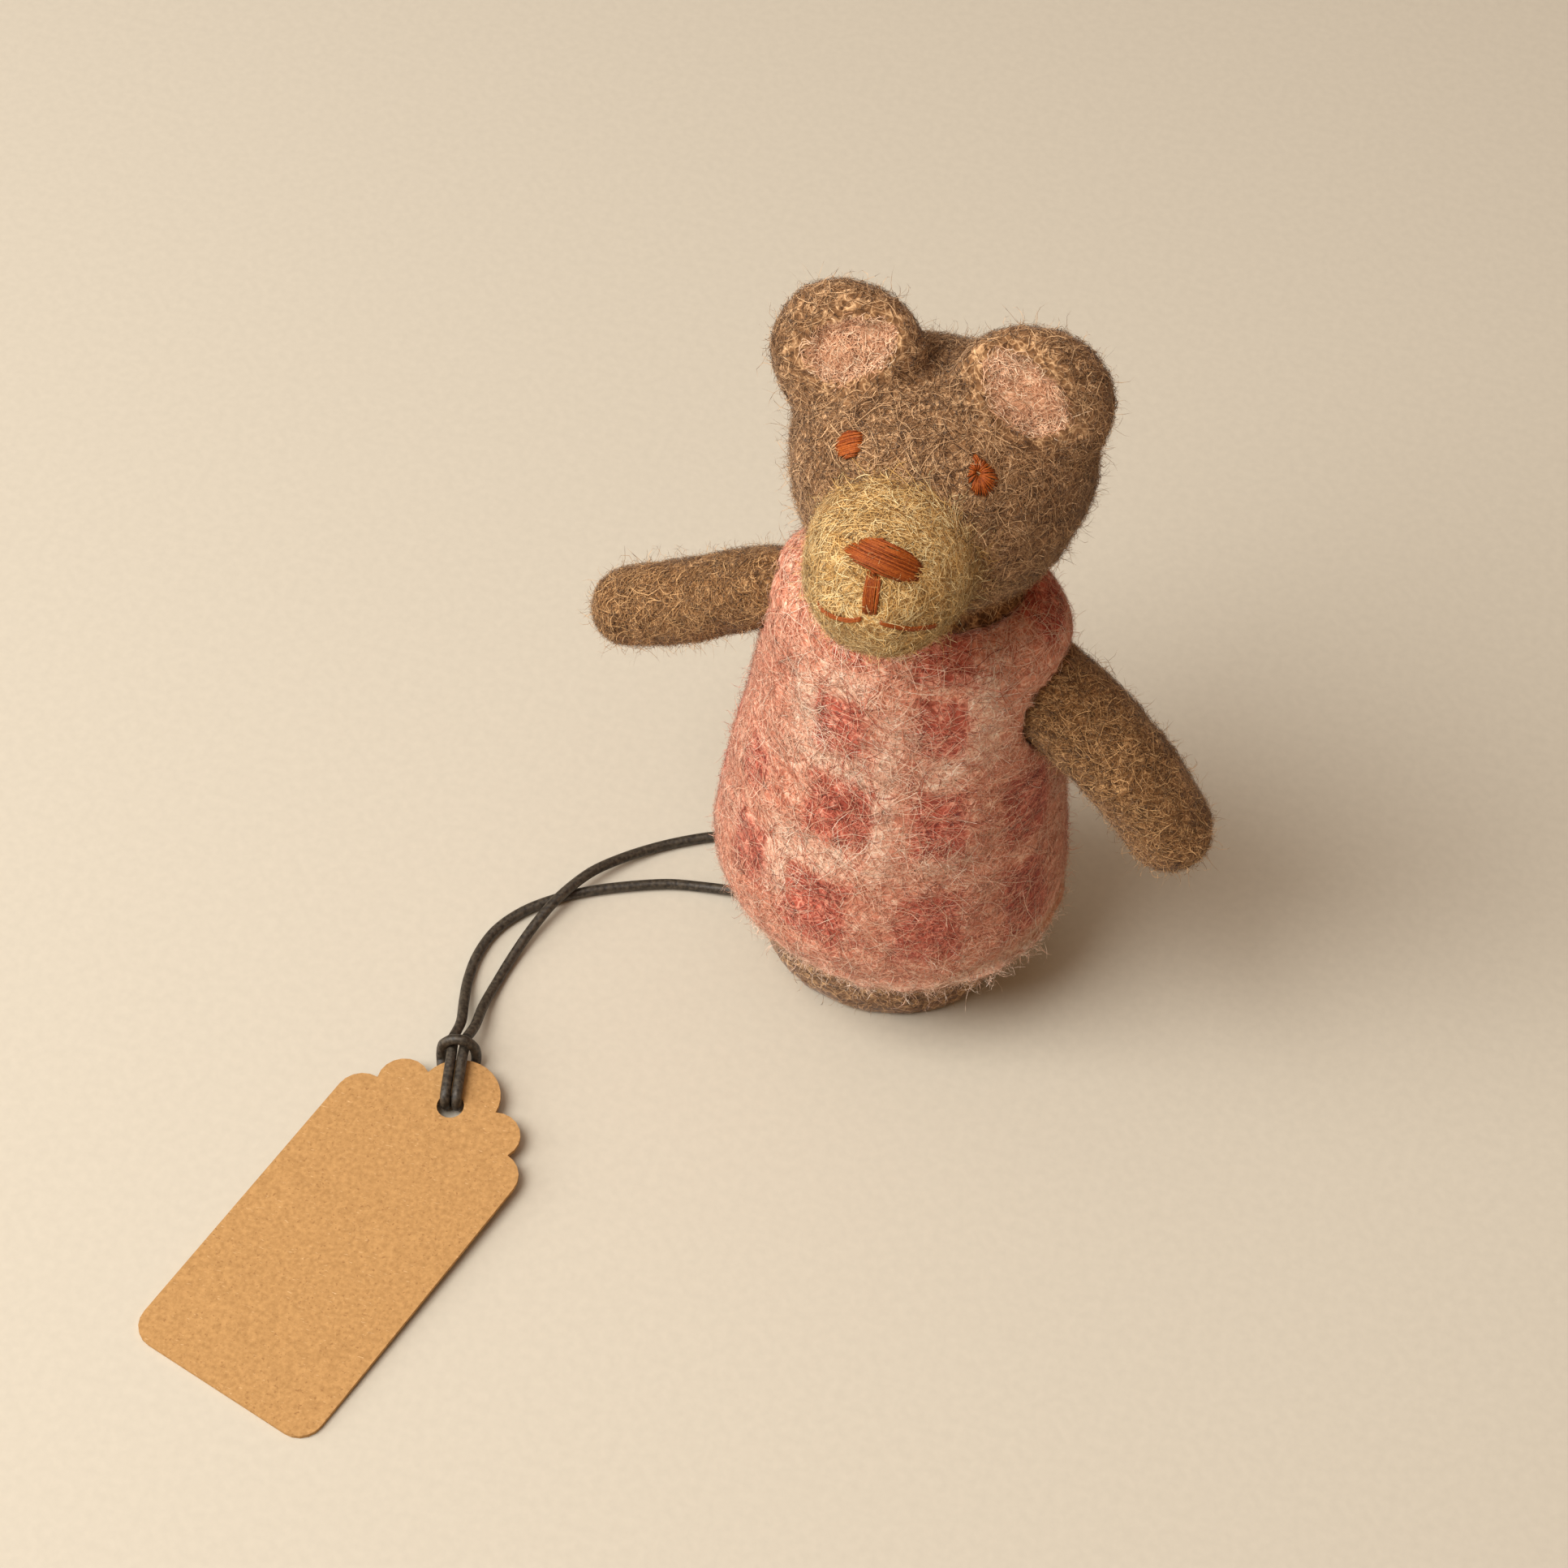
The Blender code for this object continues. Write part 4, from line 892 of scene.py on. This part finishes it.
def build_dress():
    """The pinafore with its felted check and fuzzy hem."""
    mesh = soft_form("felt_dress", *DRESS_FORM)
    roughen(mesh, 50)
    places = vertex_array(mesh)
    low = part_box("dress")[0].z
    out = unit(np.stack([places[:, 0] - AXIS.x, places[:, 1] - AXIS.y, np.zeros(len(places))], axis=1))
    flare = ramp_up(low + HEM_HEIGHT - places[:, 2], 0.0, HEM_HEIGHT) ** 1.5
    aside = out @ np.array((math.cos(CAMERA_AZIMUTH), math.sin(CAMERA_AZIMUTH), 0.0))
    ragged = HEM_EVEN + HEM_TURN * aside + HEM_RAG * noise_over(places, HEM_RAG_SIZE, 59)
    rise = HEM_RISE * (1 + HEM_TILT * np.maximum(aside, 0.0))
    places = places + out * (flare * ragged * HEM_FLARE)[:, None]
    places[:, 2] += flare * rise
    set_vertices(mesh, places)
    above_hem = places[:, 2] - low - rise
    # The pale lip: pale fibres at the hem, reaching under its curve as painted light where it turns into
    # shade
    edge = ramp_up(HEM_PALE_LIT_LIP - above_hem, 0.0, HEM_PALE_LIT_LIP_EDGE)
    squares = patch_share(places, SQUARES, SQUARE_EDGE)
    # The pale zone holds the check's pale patches and the pale lip, whose lower part is painted light
    set_number(mesh, "pale_zone", np.maximum(patch_share(places, PALE_PATCHES, PALE_EDGE), edge))
    set_number(mesh, "rose_zone", squares)
    zones = ((PINK, ""), (PALE, "pale_zone"), (ROSE, "rose_zone"))
    piece = new_piece("felt_dress", mesh, wool_base_material("dress_felt", zones))
    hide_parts("dress")
    strands = fibre_material("dress_fibre", zones)
    pale_strands = fibre_material("pale_fibre", ((WISP, ""),))
    normals = vertex_array(mesh, "normal")
    outer = ramp_up((normals * out).sum(axis=1), -0.2, 0.2)
    hem = outer * ramp_up(HEM_FUZZ_HEIGHT - above_hem, 0.0, HEM_FUZZ_EDGE)
    names = ("pale_zone", "rose_zone")
    thin, thinner = (outer * (1 - share * squares) for share in SQUARE_THINNING)
    parts = [
        piece,
        cover("dress_fibres", mesh, strands, names, dress_heading, DRESS_SPREAD, thin, curl=1.2),
        cover("dress_long_fibres", mesh, pale_strands, (), dress_heading, LONG_SPREAD, thinner,
              curl=1.0, width=LONG_FIBRE_WIDTH),
        fuzz("dress_fuzz", mesh, strands, names, outer),
        fuzz("hem_fuzz", mesh, strands, names, hem),
    ]
    declare(parts)


# Card and cord


def smooth_route(points, steps):
    """Catmull-Rom points through a given route."""
    points = [Vector(point) for point in points]
    line = []
    for index in range(len(points) - 1):
        before = points[max(0, index - 1)]
        start, end = points[index], points[index + 1]
        after = points[min(len(points) - 1, index + 2)]
        for step in range(steps):
            share = step / steps
            slope_in, slope_out = (end - before) / 2, (after - start) / 2
            cube = 2 * start - 2 * end + slope_in + slope_out
            square = 3 * end - 3 * start - 2 * slope_in - slope_out
            line.append(((cube * share + square) * share + slope_in) * share + start)
    line.append(points[-1])
    return line


def tube(name, line, material):
    """A round cord along points."""
    curve = bpy.data.curves.new(name, "CURVE")
    curve.dimensions = "3D"
    curve.bevel_depth = CORD_RADIUS
    curve.bevel_resolution = CORD_RESOLUTION
    curve.use_fill_caps = True
    spline = curve.splines.new("POLY")
    spline.points.add(len(line) - 1)
    for point, place in zip(spline.points, line):
        point.co = (*place, 1.0)
    curve.materials.append(material)
    return link_object(name, curve)


STRAND_A = (
    (-13.3, 6.3, 0.8), (-17.0, 6.9, 0.5), (-20.0, 6.9, 0.1), (-23.6, 6.0, 0.0),
    (-26.6, 4.4, 0.0), (-29.6, 2.3, 0.1), (-32.6, -0.6, 0.6), (-35.2, -3.9, 1.25),
    (-36.9, -6.9, 1.45), (-38.4, -10.2, 1.25), (-39.7, -14.2, 0.6), (-40.6, -18.4, 0.1),
    (-41.1, -22.6, 0.1), (-41.2, -26.0, 0.8), (-40.9, -29.2, 1.7),
)
STRAND_B = (
    (-15.1, -0.6, 0.8), (-18.6, -1.0, 0.4), (-23.0, -1.5, 0.0), (-26.9, -2.4, 0.0),
    (-31.2, -4.2, 0.0), (-35.1, -6.2, 0.0), (-38.6, -8.6, 0.0), (-41.6, -11.5, 0.0),
    (-43.7, -15.0, 0.0), (-44.5, -18.8, 0.0), (-44.3, -22.6, 0.1), (-43.5, -26.0, 0.8),
    (-42.6, -29.2, 1.7),
)
HOLE_PLACE = Vector((-39.9 * MM, -39.9 * MM, 0.0)) + AXIS
HITCH_AIM = math.radians(-77.2)
HITCH_TO_HOLE = 7.0 * MM
STRAND_SPREAD = 0.64 * MM
HITCH_HALF_WIDTH = 1.98 * MM
TAG_THICKNESS = 0.5 * MM
GAP = 0.3 * MM


def hitch_route():
    """The cord's path through the cow hitch, from one strand to the other."""
    along = Vector((math.cos(HITCH_AIM), math.sin(HITCH_AIM), 0.0))
    right = Vector((-along.y, along.x, 0.0))
    start = HOLE_PLACE - along * HITCH_TO_HOLE
    thick = 2 * CORD_RADIUS
    under = FLOOR_LINE
    over = thick + 2 * GAP + TAG_THICKNESS + CORD_RADIUS + CLEARANCE
    turn = (over - under) / 2
    reach = HITCH_TO_HOLE
    bend = reach - GAP - turn
    wide = HITCH_HALF_WIDTH
    half = (
        (-0.19 * reach, 1.15 * STRAND_SPREAD, over),
        (0.14 * reach, STRAND_SPREAD, over + 0.2 * thick),
        (0.49 * reach, STRAND_SPREAD, over + 0.1 * thick),
        (bend, STRAND_SPREAD, over),
        (bend + turn * 0.71, STRAND_SPREAD, over - turn * 0.29),
        (bend + turn, STRAND_SPREAD, over - turn),
        (bend + turn * 0.71, STRAND_SPREAD, under + turn * 0.29),
        (bend, 1.1 * STRAND_SPREAD, under),
        (0.51 * reach, 0.5 * wide, under),
        (0.24 * reach, 0.83 * wide, under),
        (0.06 * reach, 0.98 * wide, under + 0.23 * thick),
        (-0.01 * reach, wide, under + thick),
        (-0.015 * reach, 0.9 * wide, under + 2.1 * thick),
        (-0.015 * reach, 0.62 * wide, over + 0.91 * thick),
        (-0.015 * reach, 0.29 * wide, over + 1.32 * thick),
    )
    half += tuple((ahead, -off, up) for ahead, off, up in half[::-1])
    return [start + along * ahead + right * off + Vector((0, 0, up)) for ahead, off, up in half]


def build_cord_and_card():
    """The card keeps its model shape; the cord is drawn finer along the same route."""
    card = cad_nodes["swing_tag"]
    card.data.materials.clear()
    card.data.materials.append(card_material())
    waxed = cord_material()
    hitch_line = smooth_route(hitch_route(), ROUTE_STEPS)
    hitch = tube("cord_hitch", hitch_line, waxed)
    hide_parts("hitch")
    declare([hitch])
    ends = (
        ("a", STRAND_A, hitch_line[0], hitch_line[0] - hitch_line[1]),
        ("b", STRAND_B, hitch_line[-1], hitch_line[-1] - hitch_line[-2]),
    )
    for letter, route, end, outward in ends:
        places = [Vector((x * MM, y * MM, FLOOR_LINE + z * MM)) + AXIS for x, y, z in route]
        places.append(end + outward.normalized() * GAP)
        line = smooth_route(places, ROUTE_STEPS)
        if letter == "b":
            line = line[::-1]
        strand = tube("cord_strand_" + letter, line, waxed)
        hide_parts("tag_cord_" + letter)
        declare([strand])


# Embroidery: outlines in the photograph's pixels, put on the face along the camera's rays
NOSE_OUTLINE = (
    (1039, 677), (1050, 671), (1063, 665), (1074, 663), (1086, 665), (1098, 672), (1112, 678),
    (1124, 684), (1133, 693), (1137, 702), (1133, 714), (1122, 719), (1109, 716), (1094, 711),
    (1077, 705), (1064, 697), (1050, 689),
)
STITCH_OUTLINE = ((1069, 703), (1086, 708), (1084, 730), (1080, 758), (1063, 755), (1063, 735))
EYE_RIGHT_OUTLINE = (
    (1037, 537), (1046, 532), (1058, 531), (1065, 535), (1064, 546), (1060, 557), (1052, 564),
    (1043, 566), (1034, 562), (1030, 552), (1032, 543),
)
EYE_LEFT_CENTRE = (1204, 583)
EYE_LEFT_OUTLINE = (
    (1199, 567), (1210, 566), (1218, 572), (1226, 581), (1230, 592), (1226, 604), (1216, 612),
    (1204, 611), (1196, 603), (1192, 590), (1193, 577),
)
EYE_LEFT_TAIL = (((1199, 560), (1206, 573)), ((1201, 559), (1208, 572)), ((1198, 563), (1204, 576)))
MOUTH_RIGHT_LINE = ((1009, 740), (1015, 750), (1025, 757), (1037, 761), (1050, 763), (1062, 761))
MOUTH_LEFT_LINE = ((1084, 765), (1096, 769), (1110, 772), (1126, 773), (1142, 771), (1153, 768))
THREAD_RADIUS = 0.09 * MM
THREAD_PIXELS = 1.5
MOUTH_THREAD_RADIUS = 0.13 * MM
MOUTH_THREAD_SHIFTS = (-1.4, 0.0, 1.4)
MOUTH_LIFT = 0.22 * MM
STITCH_DOME, EYE_DOME = 0.40 * MM, 0.50 * MM
SEWN_JITTER = 0.5
THREAD_SIDES = 6
EYE_SPOKES = 36
# Hatched forms: outline, angle of the stitches, how much they stand proud, and steps along each
HATCHED = {
    "nose": (NOSE_OUTLINE, 24, 0.75 * MM, 9),
    "nose_stitch": (STITCH_OUTLINE, 97, STITCH_DOME, 5),
    "eye_right": (EYE_RIGHT_OUTLINE, -14, EYE_DOME, 5),
}


def hatch(outline, angle):
    """Parallel stitches across an outline: start and end pixels of each."""
    turn = math.radians(angle)
    along = np.array((math.cos(turn), math.sin(turn)))
    across = np.array((-along[1], along[0]))
    corners = np.array(outline, dtype=float)
    off, far = corners @ across, corners @ along
    lines = []
    for level in np.arange(off.min() + THREAD_PIXELS / 2, off.max(), THREAD_PIXELS):
        meets = []
        for index in range(len(corners)):
            after = (index + 1) % len(corners)
            if (off[index] - level) * (off[after] - level) < 0:
                share = (level - off[index]) / (off[after] - off[index])
                meets.append(far[index] + share * (far[after] - far[index]))
        if len(meets) >= 2:
            ends = [across * level + along * value for value in (min(meets), max(meets))]
            lines.append(ends)
    return lines


def spokes(outline, centre, count):
    """Stitches from an outline towards a centre."""
    corners = [Vector((x, y)) for x, y in outline]
    middle = Vector(centre)
    lines = []
    for number in range(count):
        place = number / count * len(corners)
        index = int(place) % len(corners)
        rim = corners[index].lerp(corners[(index + 1) % len(corners)], place - int(place))
        inner = middle.lerp(rim, 0.14)
        lines.append((np.array(rim), np.array(inner)))
    return lines


def on_face(surface, pixel, lift):
    """A point on the face under a pixel, lifted off it."""
    hit, normal, _, _ = surface.ray_cast(camera_place(), pixel_ray(pixel))
    return hit + normal * lift, normal


def thread_mesh(name, paths, radius, rng):
    """Round threads along lines of (point, normal)."""
    shape = bmesh.new()
    tints = []
    for path in paths:
        tint = rng.uniform(0.35, 0.8)
        rings = []
        for index, (place, normal) in enumerate(path):
            ahead = path[min(index + 1, len(path) - 1)][0] - path[max(index - 1, 0)][0]
            side = ahead.cross(normal).normalized()
            thick = radius * (0.55 if index in (0, len(path) - 1) else 1.0)
            ring = []
            for corner in range(THREAD_SIDES):
                angle = math.tau * corner / THREAD_SIDES
                offset = side * math.cos(angle) + normal * math.sin(angle)
                ring.append(shape.verts.new(place + offset * thick))
                tints.append(tint)
            rings.append(ring)
        for lower, upper in zip(rings, rings[1:]):
            for corner in range(THREAD_SIDES):
                after = (corner + 1) % THREAD_SIDES
                shape.faces.new((lower[corner], lower[after], upper[after], upper[corner]))
        shape.faces.new(rings[0][::-1])
        shape.faces.new(rings[-1])
    bmesh.ops.recalc_face_normals(shape, faces=shape.faces)
    mesh = bpy.data.meshes.new(name)
    shape.to_mesh(mesh)
    shape.free()
    mesh.shade_smooth()
    set_number(mesh, "tint", tints)
    return mesh


def sewn(surface, lines, dome, rng, steps=5):
    """Lay stitches on the face; dome is how much they stand proud in the middle."""
    paths = []
    for start, end in lines:
        path = []
        jitter = rng.normal(0.0, SEWN_JITTER, 2)
        for step in range(steps + 1):
            share = step / steps
            pixel = start + (end - start) * share + jitter
            lift = 0.02 * MM + dome * math.sin(math.pi * (0.08 + 0.84 * share))
            path.append(on_face(surface, pixel, lift))
        paths.append(path)
    return paths


def build_stitches(head_mesh):
    """Eyes, nose and mouth in rust thread."""
    surface = mesh_tree(head_mesh)
    thread = thread_material()
    rng = np.random.default_rng(71)
    paths = {}
    for node, (outline, angle, dome, steps) in HATCHED.items():
        paths[node] = sewn(surface, hatch(outline, angle), dome, rng, steps)
    lines = spokes(EYE_LEFT_OUTLINE, EYE_LEFT_CENTRE, EYE_SPOKES)
    paths["eye_left"] = sewn(surface, lines, EYE_DOME, rng)
    paths["eye_left"] += sewn(surface, np.array(EYE_LEFT_TAIL, dtype=float), STITCH_DOME, rng)
    for node, line in (("mouth_right", MOUTH_RIGHT_LINE), ("mouth_left", MOUTH_LEFT_LINE)):
        routes = [smooth_route([(x, y + shift, 0.0) for x, y in line], 3) for shift in MOUTH_THREAD_SHIFTS]
        paths[node] = [[on_face(surface, (x, y), MOUTH_LIFT) for x, y, _ in route] for route in routes]
    for node, lines in paths.items():
        radius = MOUTH_THREAD_RADIUS if node.startswith("mouth") else THREAD_RADIUS
        name = node + "_threads"
        piece = new_piece(name, thread_mesh(name, lines, radius, rng), thread)
        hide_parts(node)
        declare([piece])


# Floor, light and backdrop


def build_stage():
    """A plain warm floor, an even warm room and soft lamps, the strongest from the camera's left."""
    mesh = bpy.data.meshes.new("floor")
    corners = ((-1, -1), (1, -1), (1, 1), (-1, 1))
    mesh.from_pydata([(x * FLOOR_HALF, y * FLOOR_HALF, FLOOR_DROP) for x, y in corners], [], [(0, 1, 2, 3)])
    material, tree, shader, place = new_material("floor_paper")
    grain = add_noise(tree, place, FLOOR_GRAIN, 3.0)
    low = tuple(value * 0.95 for value in FLOOR_COLOUR)
    colour = add_ramp(tree, grain, (0.3, 0.7), (low, FLOOR_COLOUR))
    set_surface(tree, shader, colour, roughness=0.95, specular=0.1)
    new_piece("floor", mesh, material)

    world = bpy.data.worlds.new("soft_room")
    world.use_nodes = True
    background = world.node_tree.nodes["Background"]
    background.inputs["Color"].default_value = ROOM_COLOUR
    background.inputs["Strength"].default_value = ROOM_STRENGTH
    bpy.context.scene.world = world

    right, _, _ = camera_axes()
    toward = Vector((math.sin(CAMERA_AZIMUTH), -math.cos(CAMERA_AZIMUTH), 0.0))
    for name, (across, near, above), distance, size, energy in LAMPS:
        direction = (right * across + toward * near + Vector((0.0, 0.0, above))).normalized()
        place_lamp(name, direction, distance, size, energy)


def place_lamp(name, direction, distance, size, energy):
    """A round soft light that faces the puppet."""
    light = bpy.data.lights.new(name, "AREA")
    light.shape = "DISK"
    light.size = size
    light.energy = energy
    light.color = LAMP_COLOUR
    lamp = link_object(name, light)
    lamp.location = AXIS + Vector((0.0, 0.0, LAMP_AIM)) + direction * distance
    lamp.rotation_euler = direction.to_track_quat("Z", "Y").to_euler()


def build_scene():
    """Everything in the picture."""
    make_camera()
    build_cord_and_card()
    head = build_head()
    build_stitches(head)
    build_arms()
    build_body()
    build_dress()
    build_stage()
    bpy.context.scene.view_settings.view_transform = "Standard"


build_scene()
